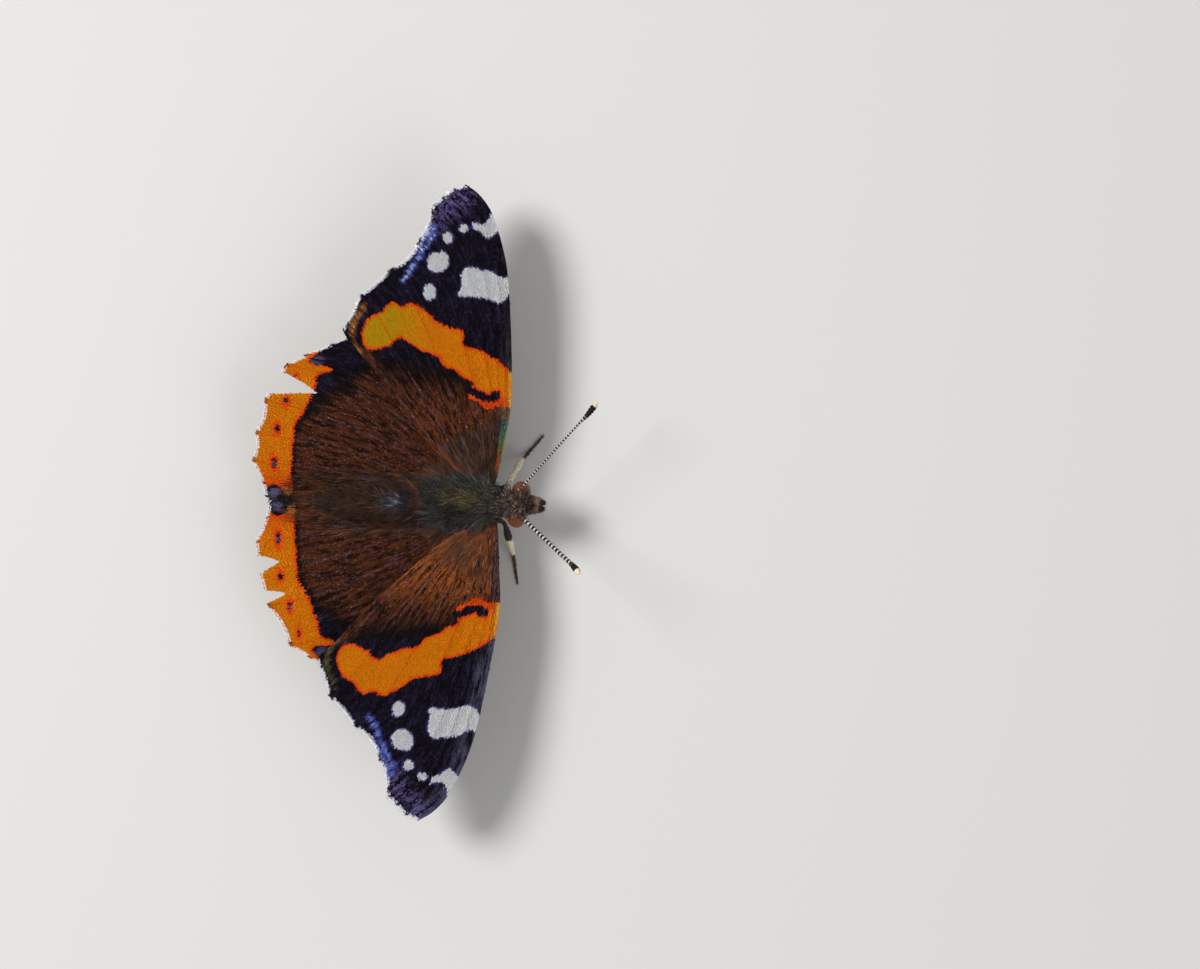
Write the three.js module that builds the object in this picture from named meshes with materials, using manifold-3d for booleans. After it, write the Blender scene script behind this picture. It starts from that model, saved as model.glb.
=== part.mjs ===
import * as THREE from 'three';
import { mergeVertices } from 'three/addons/utils/BufferGeometryUtils.js';
import Module from 'manifold-3d';

// A red admiral butterfly at life size, resting on its feet with its wings spread almost flat.
// Millimetres, +Z up, feet on Z = 0. The head points to -Y and the butterfly's left wings to +X.
// "Fore" is a distance towards the head, "out" a distance sideways from the body's middle line.

// Driving dimensions
const gap = 0.3;
const membrane = 0.5;
const veinAbove = 0.18;
const veinBelow = 0.1;
const veinHalfWidth = 0.3;
const middleLine = 0.1;
const abdomenBend = 0.02;
const headPlace = [0.05, -9.05, 6.9];
const headYaw = -10;
const eyeOut = 1.35;
const eyeFore = 0.3;
const eyeHalfSizes = [1.0, 0.95, 1.15];

// Body stations from front to rear: [fore, half width, height of the centre, half height]
const thoraxStations = [
  [7.65, 0.7, 7.0, 0.7],
  [7.2, 1.7, 6.85, 1.6],
  [6.4, 2.2, 6.6, 2.15],
  [4.9, 2.5, 6.35, 2.6],
  [2.9, 2.45, 6.25, 2.65],
  [1.2, 2.1, 6.25, 2.4],
  [0.1, 1.5, 6.35, 1.8],
  [-0.4, 0.7, 6.4, 0.9],
];
const abdomenStations = [
  [0.7, 1.3, 6.4, 1.25],
  [-1.0, 1.7, 6.45, 1.65],
  [-2.5, 1.85, 6.45, 1.8],
  [-4.3, 1.8, 6.35, 1.75],
  [-6.5, 1.6, 6.15, 1.55],
  [-8.3, 1.3, 5.9, 1.25],
  [-10.0, 0.9, 5.65, 0.9],
  [-11.3, 0.5, 5.45, 0.5],
  [-11.8, 0.2, 5.4, 0.2],
];
const abdomenSegments = 8;
const segmentStep = 0.09;

// The head's own stations, measured from the middle of the head
const headStations = [
  [1.3, 0.45, -0.3, 0.5],
  [1.05, 0.8, -0.2, 0.95],
  [0.55, 1.1, -0.05, 1.3],
  [0, 1.2, 0, 1.45],
  [-0.6, 1.15, 0, 1.35],
  [-1.1, 0.9, 0, 1.1],
  [-1.6, 0.6, 0, 0.7],
];

// A wing is drawn flat, as [out, fore] from its hinge. The margin runs through the vein ends from
// the tip to the rear corner, and sinks between them by the scallops. A vein's place is its share
// of the margin, and "from" and "to" are shares of the way out from the hinge. Each side has its
// own sweep back in degrees, reach, widening outwards, and slant outwards towards the rear.
const forewing = {
  hinge: [3.1, 6.2],
  height: 7.1,
  rise: 0.096,
  arch: 0.8,
  span: 29,
  foldDepth: 0,
  foldWidth: 1,
  sweep: { left: 0, right: 9.5 },
  reach: { left: 1, right: 1.015 },
  widen: { left: 1, right: 1 },
  slant: { left: 0, right: 0.07 },
  leading: [[-1.7, 0.5], [-0.3, 1.0], [3.2, 1.7], [7.2, 2.4], [13.2, 2.4], [19.2, 2.1],
    [22.5, 1.55], [25.8, 0.5], [27.7, -0.8], [28.8, -2.3]],
  margin: [[28.8, -2.3], [28.3, -3.8], [26.9, -5.6], [23.4, -6.9], [20.4, -9.8], [17.8, -12.7],
    [14.3, -14.4]],
  trailing: [[-1.7, -1.4], [-0.8, -1.8], [1.7, -4.8], [5.2, -7.8], [8.2, -10.3], [12.2, -13.0],
    [13.4, -14.1], [14.3, -14.4]],
  scallops: [0.05, 0.1, 0.3, 0.5, 0.2, 0.2],
  tears: { left: [], right: [] },
  veins: [
    { at: 0, from: 0, to: 1 },
    { at: 0.065, from: 0, to: 0.85 },
    { at: 0.14, from: 0.44, to: 1 },
    { at: 0.23, from: 0.44, to: 1 },
    { at: 0.4, from: 0, to: 1 },
    { at: 0.6, from: 0.34, to: 1 },
    { at: 0.8, from: 0.2, to: 1 },
    { at: 0.955, from: 0, to: 1 },
  ],
  cell: { end: 0.44, between: [0.065, 0.4] },
};
const hindwing = {
  hinge: [2.55, 2.95],
  height: 5.92,
  rise: 0.078,
  arch: 0.5,
  span: 22,
  foldDepth: 2.2,
  foldWidth: 2.1,
  sweep: { left: 0, right: 0 },
  reach: { left: 1, right: 0.98 },
  widen: { left: 1, right: 1.1 },
  slant: { left: 0, right: 0 },
  leading: [[-0.9, 1.4], [0.5, 1.8], [3.8, 1.5], [7.8, -0.5], [11.3, -4.0], [13.3, -7.5],
    [13.9, -10.0], [13.8, -10.9]],
  margin: [[13.8, -10.9], [13.1, -12.5], [12.1, -15.1], [11.1, -17.1], [7.5, -19.3], [4.3, -20.2],
    [1.6, -20.5], [-2.0, -19.2]],
  trailing: [[-0.9, -1.4], [-0.95, -2.8], [-1.5, -4.4], [-2.15, -6.6], [-2.37, -8.8], [-2.37, -14.0],
    [-2.37, -18.2], [-2.0, -19.2]],
  scallops: [0.1, 0.2, 0.2, 0.3, 0.3, 0.3, 0.3],
  tears: {
    left: [{ at: 0.427, halfWidth: 0.06, depth: 3.8 }],
    right: [{ at: 0.713, halfWidth: 0.04, depth: 1.9 }, { at: 0.568, halfWidth: 0.028, depth: 1.9 }],
  },
  veins: [
    { at: 0, from: 0, to: 1 },
    { at: 0.087, from: 0, to: 1 },
    { at: 0.22, from: 0.4, to: 1 },
    { at: 0.327, from: 0.4, to: 1 },
    { at: 0.527, from: 0, to: 1 },
    { at: 0.685, from: 0.32, to: 1 },
    { at: 0.815, from: 0.18, to: 1 },
    { at: 0.925, from: 0, to: 1 },
  ],
  cell: { end: 0.4, between: [0.087, 0.527] },
};
const wingRows = [0, 0.12, 0.24, 0.34, 0.6, 0.72, 0.84, 0.93, 1];
const cellRidgeShare = 0.018;

// Limbs and feelers: [out, fore, height, radius] along each one, root first
const middleLegs = {
  left: [[0.9, 4.6, 4.3, 0.42], [1.2, 5.3, 3.9, 0.46], [1.45, 6.6, 4.5, 0.42], [1.6, 7.7, 5.0, 0.3],
    [1.9, 8.15, 4.7, 0.3], [2.7, 8.6, 3.5, 0.34], [3.6, 9.1, 2.1, 0.32], [4.3, 9.5, 1.0, 0.28],
    [4.7, 9.85, 0.45, 0.26], [5.5, 10.55, 0.24, 0.27], [6.3, 11.25, 0.22, 0.26],
    [6.85, 11.75, 0.2, 0.2]],
  right: [[0.9, 4.6, 4.3, 0.42], [1.2, 5.3, 3.9, 0.46], [1.55, 6.6, 4.5, 0.42], [1.8, 7.6, 5.0, 0.3],
    [2.15, 7.9, 4.7, 0.3], [3.1, 8.15, 3.5, 0.34], [4.1, 8.4, 2.1, 0.32], [4.9, 8.6, 1.0, 0.28],
    [5.4, 8.7, 0.45, 0.26], [6.5, 8.85, 0.24, 0.27], [7.5, 9.0, 0.22, 0.26],
    [8.2, 9.1, 0.2, 0.2]],
};
const hindLeg = [[1.0, 2.4, 4.2, 0.42], [1.7, 2.1, 3.4, 0.46], [3.4, 0.9, 3.7, 0.42],
  [5.1, -0.4, 4.4, 0.3], [5.4, -0.9, 4.1, 0.3], [6.0, -2.1, 3.0, 0.34], [6.6, -3.3, 1.9, 0.32],
  [7.0, -4.2, 1.0, 0.28], [7.2, -4.8, 0.45, 0.26], [7.4, -5.8, 0.24, 0.27], [7.55, -6.8, 0.22, 0.26],
  [7.6, -7.6, 0.2, 0.2]];
const brushLeg = [[0.75, 6.7, 4.6, 0.3], [0.85, 7.3, 4.0, 0.32], [0.9, 8.0, 4.2, 0.3],
  [0.9, 8.5, 4.55, 0.27], [0.95, 8.3, 5.0, 0.26], [1.0, 8.0, 5.2, 0.2]];

// On the head, points are [to the left, to the rear, up, radius] from the middle of the head
const leftAntenna = [[0.55, 0.2, 0.7, 0.28], [0.6, 0.15, 1.65, 0.27], [1.0, -0.02, 2.1, 0.25],
  [2.1, -0.55, 2.35, 0.25], [5.71, -2.75, 2.75, 0.25], [9.2, -4.98, 3.4, 0.25],
  [9.8, -5.4, 3.5, 0.32], [10.5, -5.8, 3.6, 0.4], [11.1, -6.1, 3.66, 0.36],
  [11.4, -6.25, 3.7, 0.18]];
const rightAntenna = [[-0.4, 0.2, 0.7, 0.28], [-0.65, 0, 1.5, 0.27], [-1.05, -0.55, 2.0, 0.25],
  [-1.5, -1.3, 2.6, 0.25], [-3.05, -3.7, 4.6, 0.25], [-4.6, -6.15, 6.9, 0.25],
  [-4.9, -6.6, 7.4, 0.32], [-5.2, -7.0, 8.05, 0.4], [-5.5, -7.3, 8.6, 0.36],
  [-5.62, -7.45, 8.9, 0.18]];
const palp = [[0.5, -0.55, -0.9, 0.3], [0.53, -1.2, -0.75, 0.36], [0.5, -1.8, -0.35, 0.34],
  [0.46, -2.3, 0.1, 0.28], [0.44, -2.75, 0.5, 0.16]];
const palpLean = 0.3;
const proboscis = { root: [0, -0.7, -1.0], centre: [0, -1.45, -2.15], outer: 0.95, inner: 0.2,
  turns: 1.2, radius: 0.2 };

// Sides and rings of the round bodies
const bodySides = 20;
const bodyRings = 14;
const headSides = 18;
const limbSides = 8;

const wasm = await Module();
wasm.setup();

// Solids

function solidOf(geometry) {
  const bare = geometry.clone();
  bare.deleteAttribute('normal');
  bare.deleteAttribute('uv');
  const merged = mergeVertices(bare, 1e-5);
  return new wasm.Manifold(new wasm.Mesh({
    numProp: 3,
    vertProperties: Float32Array.from(merged.attributes.position.array),
    triVerts: Uint32Array.from(merged.index.array),
  }));
}

// The part of a geometry that stays outside the neighbours, as one body
function clearOf(geometry, neighbours) {
  let solid = solidOf(geometry);
  for (const neighbour of neighbours) {
    solid = solid.subtract(solidOf(neighbour));
  }
  const pieces = solid.decompose();
  const largest = pieces.reduce((a, b) => (a.volume() >= b.volume() ? a : b));
  const mesh = largest.getMesh();
  const cut = new THREE.BufferGeometry();
  cut.setAttribute('position', new THREE.BufferAttribute(Float32Array.from(mesh.vertProperties), 3));
  cut.setIndex(new THREE.BufferAttribute(Uint32Array.from(mesh.triVerts), 1));
  cut.computeVertexNormals();
  return cut;
}

function meshFrom(points, faces) {
  let volume = 0;
  for (const [a, b, c] of faces) {
    volume += points[a].dot(points[b].clone().cross(points[c]));
  }
  const outward = volume > 0 ? faces : faces.map(([a, b, c]) => [a, c, b]);
  const geometry = new THREE.BufferGeometry().setFromPoints(points);
  geometry.setIndex(outward.flat());
  geometry.computeVertexNormals();
  return geometry;
}

// A closed skin over rings that all have the same number of points
function ringedBody(rings) {
  const sides = rings[0].length;
  const points = rings.flat();
  const faces = [];
  for (let ring = 0; ring + 1 < rings.length; ring++) {
    for (let side = 0; side < sides; side++) {
      const a = ring * sides + side;
      const b = ring * sides + (side + 1) % sides;
      faces.push([a, b, b + sides], [a, b + sides, a + sides]);
    }
  }
  for (const [ring, start] of [[rings[0], 0], [rings.at(-1), points.length - sides]]) {
    const middle = ring.reduce((sum, point) => sum.add(point), new THREE.Vector3());
    const centre = points.push(middle.divideScalar(sides)) - 1;
    for (let side = 0; side < sides; side++) {
      const edge = [start + side, start + (side + 1) % sides];
      faces.push(start === 0 ? [edge[1], edge[0], centre] : [edge[0], edge[1], centre]);
    }
  }
  return meshFrom(points, faces);
}

function sidewaysAt(fore) {
  return middleLine + abdomenBend * Math.max(0, -fore);
}

// One upright oval ring across the body
function ovalRing(centre, halfWidth, halfHeight, sides) {
  const ring = [];
  for (let side = 0; side < sides; side++) {
    const turn = 2 * Math.PI * side / sides;
    ring.push(new THREE.Vector3(halfWidth * Math.cos(turn), 0, halfHeight * Math.sin(turn)).add(centre));
  }
  return ring;
}

// A round body through its stations, larger all round by "grown"
function stationBody(stations, { sides, steps, grown = 0, swell = () => 1, sideways = () => 0 }) {
  const fores = new THREE.CatmullRomCurve3(stations.map(([fore, width, height]) =>
    new THREE.Vector3(fore, width, height)));
  const heights = new THREE.CatmullRomCurve3(stations.map(([fore, , , halfHeight]) =>
    new THREE.Vector3(fore, halfHeight, 0)));
  const rings = [];
  for (let step = 0; step <= steps.length - 1; step++) {
    const place = fores.getPoint(steps[step]);
    const tall = heights.getPoint(steps[step]).y;
    const end = step === 0 ? grown : step === steps.length - 1 ? -grown : 0;
    const size = swell(steps[step]);
    const centre = new THREE.Vector3(sideways(place.x), -(place.x + end), place.z);
    rings.push(ovalRing(centre, place.y * size + grown, tall * size + grown, sides));
  }
  return ringedBody(rings);
}

function evenSteps(count) {
  return Array.from({ length: count + 1 }, (_, step) => step / count);
}

// A tapered round limb along its points, never below the floor
function limb(points, { perPoint = 2, grown = 0, floor = -Infinity } = {}) {
  const path = new THREE.CatmullRomCurve3(points.map(([x, y, z]) => new THREE.Vector3(x, y, z)),
    false, 'centripetal');
  const count = (points.length - 1) * perPoint;
  let across = new THREE.Vector3(0.3, 0.2, 1).normalize();
  const rings = [];
  for (let step = 0; step <= count; step++) {
    const tangent = path.getTangent(step / count);
    const at = Math.min(Math.floor(step / perPoint), points.length - 2);
    const radius = THREE.MathUtils.lerp(points[at][3], points[at + 1][3], step / perPoint - at) + grown;
    const centre = path.getPoint(step / count);
    if (step === 0 || step === count) {
      centre.addScaledVector(tangent, step === 0 ? -grown : grown);
    }
    across = across.clone().addScaledVector(tangent, -across.dot(tangent)).normalize();
    const beside = tangent.clone().cross(across);
    const ring = [];
    for (let side = 0; side < limbSides; side++) {
      const turn = 2 * Math.PI * side / limbSides;
      const point = centre.clone().addScaledVector(across, radius * Math.cos(turn));
      point.addScaledVector(beside, radius * Math.sin(turn));
      point.z = Math.max(point.z, floor);
      ring.push(point);
    }
    rings.push(ring);
  }
  return ringedBody(rings);
}

// Wings

function wingHeight(wing, out, fore) {
  const beyond = out - wing.hinge[0];
  const relaxed = THREE.MathUtils.smoothstep(-fore, 9, 16.5);
  const fold = wing.foldDepth * (1 - 0.4 * relaxed) * Math.exp(-((Math.abs(out) / wing.foldWidth) ** 3));
  return wing.height + wing.rise * beyond - wing.arch * (beyond / wing.span) ** 2 - fold;
}

// The margin at a share of its length, with no scallops
function marginAt(wing, share) {
  const ends = wing.margin.map(([out, fore]) => new THREE.Vector2(out, fore));
  const lengths = ends.slice(1).map((end, i) => end.distanceTo(ends[i]));
  let left = share * lengths.reduce((a, b) => a + b, 0);
  let space = 0;
  while (space < lengths.length - 1 && left > lengths[space]) {
    left -= lengths[space];
    space += 1;
  }
  return ends[space].clone().lerp(ends[space + 1], left / lengths[space]);
}

function marginShares(wing) {
  const ends = wing.margin.map(([out, fore]) => new THREE.Vector2(out, fore));
  const shares = [0];
  for (let end = 1; end < ends.length; end++) {
    shares.push(shares[end - 1] + ends[end].distanceTo(ends[end - 1]));
  }
  return shares.map(length => length / shares.at(-1));
}

// A point of the flat wing, at a share of the way out and a share across from front to rear
function flatPoint(wing, curves, out, across) {
  const leading = curves.leading.getPointAt(out);
  const trailing = curves.trailing.getPointAt(out);
  const root = curves.leading.getPoint(0).lerp(curves.trailing.getPoint(0), across);
  const margin = marginAt(wing, across);
  const rootCorners = root.clone();
  const marginCorners = curves.leading.getPoint(1).lerp(curves.trailing.getPoint(1), across);
  return leading.multiplyScalar(1 - across)
    .addScaledVector(trailing, across)
    .addScaledVector(root, 1 - out)
    .addScaledVector(margin, out)
    .addScaledVector(rootCorners, out - 1)
    .addScaledVector(marginCorners, -out);
}

// Columns of the wing's net: three over each vein, one in each space, and three in each tear
function wingColumns(wing, side, rowLength) {
  const shares = marginShares(wing);
  const tears = wing.tears[side];
  const fixed = wing.veins.map(vein => ({ at: vein.at, vein, pull: 0 }));
  fixed.push({ at: 1, vein: null, pull: 0 });
  const spaces = fixed.slice(1).map((column, i) => [fixed[i].at, column.at]);
  for (const [low, high] of spaces) {
    const tear = tears.find(({ at }) => at > low && at < high);
    const middle = (low + high) / 2;
    const space = Math.max(1, shares.findIndex(share => share > middle)) - 1;
    if (tear) {
      fixed.push({ at: tear.at - tear.halfWidth, vein: null, pull: 0 });
      fixed.push({ at: tear.at, vein: null, pull: tear.depth });
      fixed.push({ at: tear.at + tear.halfWidth, vein: null, pull: 0 });
    } else {
      fixed.push({ at: middle, vein: null, pull: wing.scallops[space] });
    }
  }
  fixed.sort((a, b) => a.at - b.at);
  const columns = [];
  fixed.forEach((column, i) => {
    const room = Math.min(i > 0 ? column.at - fixed[i - 1].at : 1,
      i + 1 < fixed.length ? fixed[i + 1].at - column.at : 1);
    const foot = out => Math.min(veinHalfWidth / rowLength(out), 0.5 * room);
    if (column.vein && column.at > 0) {
      columns.push({ place: out => column.at - foot(out), vein: null, pull: 0 });
    }
    columns.push({ place: () => column.at, vein: column.vein, pull: column.pull });
    if (column.vein) {
      columns.push({ place: out => column.at + foot(out), vein: null, pull: 0 });
    }
  });
  return columns;
}

function wingGeometry(wing, side) {
  const hand = side === 'left' ? 1 : -1;
  const sweep = THREE.MathUtils.degToRad(wing.sweep[side]);
  const hinge = new THREE.Vector2(...wing.hinge);
  const curves = {
    leading: new THREE.SplineCurve(wing.leading.map(point => new THREE.Vector2(...point))),
    trailing: new THREE.SplineCurve(wing.trailing.map(point => new THREE.Vector2(...point))),
  };
  const rowLength = out => curves.leading.getPointAt(out).distanceTo(curves.trailing.getPointAt(out));
  const columns = wingColumns(wing, side, rowLength);
  const { end, between } = wing.cell;
  const rows = [...wingRows, end - cellRidgeShare, end, end + cellRidgeShare].sort((a, b) => a - b);

  const lift = (out, fore) => new THREE.Vector3(sidewaysAt(fore) + hand * out, -fore,
    wingHeight(wing, out, fore));
  const surface = (out, fore) => {
    const step = 0.01;
    const centre = lift(out, fore);
    const along = lift(out + step, fore).sub(centre);
    const forward = lift(out, fore + step).sub(centre);
    const up = along.cross(forward).normalize();
    return { centre, up: up.z > 0 ? up : up.negate() };
  };

  const top = [];
  const bottom = [];
  for (const row of rows) {
    for (const column of columns) {
      const across = column.place(row);
      const length = flatPoint(wing, curves, 1, across).distanceTo(flatPoint(wing, curves, 0, across));
      const flat = flatPoint(wing, curves, row * (1 - column.pull / length), across);
      flat.x = flat.x * wing.widen[side] - flat.y * wing.slant[side];
      flat.multiplyScalar(wing.reach[side]).rotateAround(new THREE.Vector2(), -sweep).add(hinge);
      const onCrossVein = row === end && across > between[0] && across < between[1];
      const onVein = column.vein && row >= column.vein.from && row <= column.vein.to;
      const ridge = onCrossVein || onVein ? Math.min(1, 0.35 + 9 * (1 - row)) : 0;
      const { centre, up } = surface(flat.x, flat.y);
      top.push(centre.clone().addScaledVector(up, membrane / 2 + ridge * veinAbove));
      bottom.push(centre.clone().addScaledVector(up, -membrane / 2 - ridge * veinBelow));
    }
  }
  const wide = columns.length;
  const below = top.length;
  const faces = [];
  const wall = (a, b) => faces.push([b, a, a + below], [b, a + below, b + below]);
  for (let row = 0; row + 1 < rows.length; row++) {
    for (let column = 0; column + 1 < wide; column++) {
      const a = row * wide + column;
      const d = a + wide;
      faces.push([a, d, d + 1], [a, d + 1, a + 1]);
      faces.push([a + below, d + 1 + below, d + below], [a + below, a + 1 + below, d + 1 + below]);
    }
    wall(row * wide, (row + 1) * wide);
    wall((row + 2) * wide - 1, (row + 1) * wide - 1);
  }
  for (let column = 0; column + 1 < wide; column++) {
    wall(column + 1, column);
    wall((rows.length - 1) * wide + column, (rows.length - 1) * wide + column + 1);
  }
  return meshFrom([...top, ...bottom], faces);
}

// Body

function thoraxGeometry(grown = 0) {
  return stationBody(thoraxStations, { sides: bodySides, steps: evenSteps(bodyRings), grown,
    sideways: sidewaysAt });
}

// Each segment of the abdomen is a little wider at its rear edge than where the next one starts.
function abdomenGeometry(grown = 0) {
  const steps = [];
  for (let segment = 0; segment < abdomenSegments; segment++) {
    steps.push(segment / abdomenSegments, (segment + 0.5) / abdomenSegments,
      (segment + 0.9) / abdomenSegments);
  }
  steps.push(1);
  const swell = step => 1 + segmentStep * ((step * abdomenSegments) % 1) - segmentStep / 2;
  return stationBody(abdomenStations, { sides: bodySides - 4, steps, grown, swell: grown ? undefined : swell,
    sideways: sidewaysAt });
}

function headGeometry(grown = 0) {
  return stationBody(headStations, { sides: headSides, steps: evenSteps(10), grown });
}

function eyeGeometry(grown = 0) {
  const sphere = new THREE.SphereGeometry(1, 20, 14);
  return sphere.scale(...eyeHalfSizes.map(size => size + grown));
}

function legPoints(leg, hand) {
  return leg.map(([out, fore, height, radius]) => [middleLine + hand * out, -fore, height, radius]);
}

function palpGeometry(hand, grown = 0) {
  const points = palp.map(([out, rear, up, radius]) =>
    [hand * out - palpLean * rear / 2.75, rear, up, radius]);
  return limb(points, { grown });
}

// The coiled tongue: a short stem, then a flat spiral that winds inwards
function proboscisGeometry() {
  const { root, centre, outer, inner, turns, radius } = proboscis;
  const steps = Math.round(turns * 14);
  const [x, y, z] = centre;
  const points = [[...root, radius]];
  for (let step = 0; step <= steps; step++) {
    const turn = Math.PI / 2 + 2 * Math.PI * turns * step / steps;
    const reach = THREE.MathUtils.lerp(outer, inner, step / steps);
    points.push([x, y + reach * Math.cos(turn), z + reach * Math.sin(turn), radius]);
  }
  return limb(points, { perPoint: 1 });
}

const butterfly = new THREE.Group();
butterfly.name = 'red_admiral';

const colours = {
  darkHair: { color: 0x3a372c, roughness: 0.95 },
  brownHair: { color: 0x4a3a28, roughness: 0.95 },
  eye: { color: 0x6b3f1c, roughness: 0.25 },
  palp: { color: 0xa08a7c, roughness: 0.9 },
  feeler: { color: 0x14110f, roughness: 0.6 },
  tongue: { color: 0x3a2416, roughness: 0.5 },
  leg: { color: 0xc9b891, roughness: 0.8 },
  forewing: { color: 0x2a1a14, roughness: 0.75 },
  hindwing: { color: 0x4a2c18, roughness: 0.75 },
};

function material(look) {
  return new THREE.MeshStandardMaterial({ ...colours[look], metalness: 0 });
}

function addPart(parent, name, geometry, look) {
  const mesh = new THREE.Mesh(geometry, material(look));
  mesh.name = name;
  parent.add(mesh);
  return mesh;
}

// Head, with its eyes, palps, feelers and tongue in a group of their own
const head = new THREE.Group();
head.position.set(...headPlace);
head.rotation.z = THREE.MathUtils.degToRad(headYaw);
butterfly.add(head);
head.updateMatrixWorld(true);
const thoraxFromHead = thoraxGeometry(gap).applyMatrix4(head.matrixWorld.clone().invert());
addPart(head, 'head', clearOf(headGeometry(), [thoraxFromHead]), 'darkHair');

const aroundHead = [headGeometry(gap)];
for (const [side, hand] of [['left', 1], ['right', -1]]) {
  const place = new THREE.Vector3(hand * eyeOut, -eyeFore, 0);
  const headFromEye = headGeometry(gap).translate(-place.x, -place.y, -place.z);
  const eye = addPart(head, `eye_${side}`, clearOf(eyeGeometry(), [headFromEye]), 'eye');
  eye.position.copy(place);
  aroundHead.push(eyeGeometry(gap).translate(place.x, place.y, place.z));
}
for (const [side, hand] of [['left', 1], ['right', -1]]) {
  addPart(head, `palp_${side}`, clearOf(palpGeometry(hand), aroundHead), 'palp');
}
addPart(head, 'antenna_left', clearOf(limb(leftAntenna), aroundHead), 'feeler');
addPart(head, 'antenna_right', clearOf(limb(rightAntenna), aroundHead), 'feeler');
const aroundTongue = [headGeometry(gap), palpGeometry(1, gap), palpGeometry(-1, gap)];
addPart(head, 'proboscis', clearOf(proboscisGeometry(), aroundTongue), 'tongue');

// Trunk
addPart(butterfly, 'thorax', thoraxGeometry(), 'darkHair');
addPart(butterfly, 'abdomen', clearOf(abdomenGeometry(), [thoraxGeometry(gap)]), 'brownHair');

// Wings and legs meet the trunk along its own surface, one gap away.
for (const [side, hand] of [['left', 1], ['right', -1]]) {
  const trunk = [thoraxGeometry(gap), abdomenGeometry(gap)];
  addPart(butterfly, `forewing_${side}`, clearOf(wingGeometry(forewing, side), trunk), 'forewing');
  addPart(butterfly, `hindwing_${side}`, clearOf(wingGeometry(hindwing, side), trunk), 'hindwing');
  const legs = { fore: brushLeg, mid: middleLegs[side], hind: hindLeg };
  for (const [name, points] of Object.entries(legs)) {
    const leg = limb(legPoints(points, hand), { floor: 0 });
    addPart(butterfly, `leg_${name}_${side}`, clearOf(leg, trunk), 'leg');
  }
}

export default butterfly;
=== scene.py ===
import math

import bpy
import numpy as np
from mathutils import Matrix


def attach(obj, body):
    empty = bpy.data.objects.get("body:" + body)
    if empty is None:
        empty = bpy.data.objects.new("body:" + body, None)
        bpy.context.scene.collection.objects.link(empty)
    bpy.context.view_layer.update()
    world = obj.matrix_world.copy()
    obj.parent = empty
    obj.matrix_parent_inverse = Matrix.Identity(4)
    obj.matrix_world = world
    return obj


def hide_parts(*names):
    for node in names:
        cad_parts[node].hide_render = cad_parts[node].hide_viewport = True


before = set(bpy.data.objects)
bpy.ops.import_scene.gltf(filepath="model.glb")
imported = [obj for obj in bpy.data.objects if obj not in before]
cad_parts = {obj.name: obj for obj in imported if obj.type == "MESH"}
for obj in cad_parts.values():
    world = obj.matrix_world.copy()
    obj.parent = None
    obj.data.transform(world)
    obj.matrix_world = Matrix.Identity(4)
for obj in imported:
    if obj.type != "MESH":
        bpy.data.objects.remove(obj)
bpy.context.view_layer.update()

# The trunk: one shell of thin horny plates from the face through the narrow neck, the humped
# thorax and the waist to the tapering abdomen, where the plates lap rearwards like roof tiles.
# It grows in one piece, dull and dark, and shows only where the hair over it parts.
millimetre = 0.001
middle_line = 0.1
abdomen_bend = 0.02
head_place = np.array([0.05, -9.05, 6.9])
head_yaw = math.radians(-10)
neck_turns = (7.3, 8.3)
abdomen_reach = (-0.6, -11.6)
abdomen_segments = 8
segment_lap = 0.07
body_sides = 72
rings_per_span = 9
body_stations = [  # fore, half width, height of the centre, half height
    [10.3, 0.2, 6.6, 0.25], [10.15, 0.5, 6.65, 0.6], [9.75, 0.85, 6.8, 1.05], [9.1, 1.0, 6.85, 1.25],
    [8.4, 0.95, 6.85, 1.15], [7.9, 0.8, 6.85, 0.95], [7.55, 0.8, 6.8, 0.95], [7.2, 1.25, 6.75, 1.25],
    [6.4, 1.9, 6.6, 1.85], [4.9, 2.2, 6.35, 2.3], [2.9, 2.15, 6.25, 2.35], [1.2, 1.8, 6.25, 2.05],
    [0.3, 1.4, 6.35, 1.6], [-0.3, 1.35, 6.4, 1.35], [-1.1, 1.5, 6.45, 1.45], [-2.5, 1.65, 6.45, 1.6],
    [-4.3, 1.6, 6.35, 1.55], [-6.5, 1.4, 6.15, 1.35], [-8.3, 1.1, 5.9, 1.05], [-10.0, 0.75, 5.65, 0.75],
    [-11.2, 0.38, 5.45, 0.38], [-11.7, 0.12, 5.4, 0.12],
]


def cubic(start, end, leave, arrive, share):
    """Places on a curve between two points, by the ways that it leaves and arrives."""
    return (start + leave * share + (3 * (end - start) - 2 * leave - arrive) * share ** 2
            + (2 * (start - end) + leave + arrive) * share ** 3)


def smooth_line(points, per_span):
    """Places along a smooth curve through the given points. Columns past the third go along."""
    points = np.array(points, float)
    ends = np.vstack([2 * points[0] - points[1], points, 2 * points[-1] - points[-2]])
    gaps = np.sqrt(np.linalg.norm(np.diff(ends[:, :3], axis=0), axis=1))
    share = (np.arange(per_span) / per_span)[:, None]
    spans = []
    for i in range(1, len(ends) - 2):
        a, b, c, d = ends[i - 1:i + 3]
        before, here, after = gaps[i - 1:i + 2]
        leave = ((b - a) / before - (c - a) / (before + here) + (c - b) / here) * here
        arrive = ((c - b) / here - (d - b) / (here + after) + (d - c) / after) * here
        spans.append(cubic(b, c, leave, arrive, share))
    return np.vstack([*spans, points[-1:]])


def smooth_step(value, low, high):
    share = np.clip((value - low) / (high - low), 0, 1)
    return share * share * (3 - 2 * share)


def sideways_at(fore):
    """How far to the left the middle line of the body lies, which bends towards the tail."""
    return middle_line + abdomen_bend * np.maximum(0, -fore)


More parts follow.
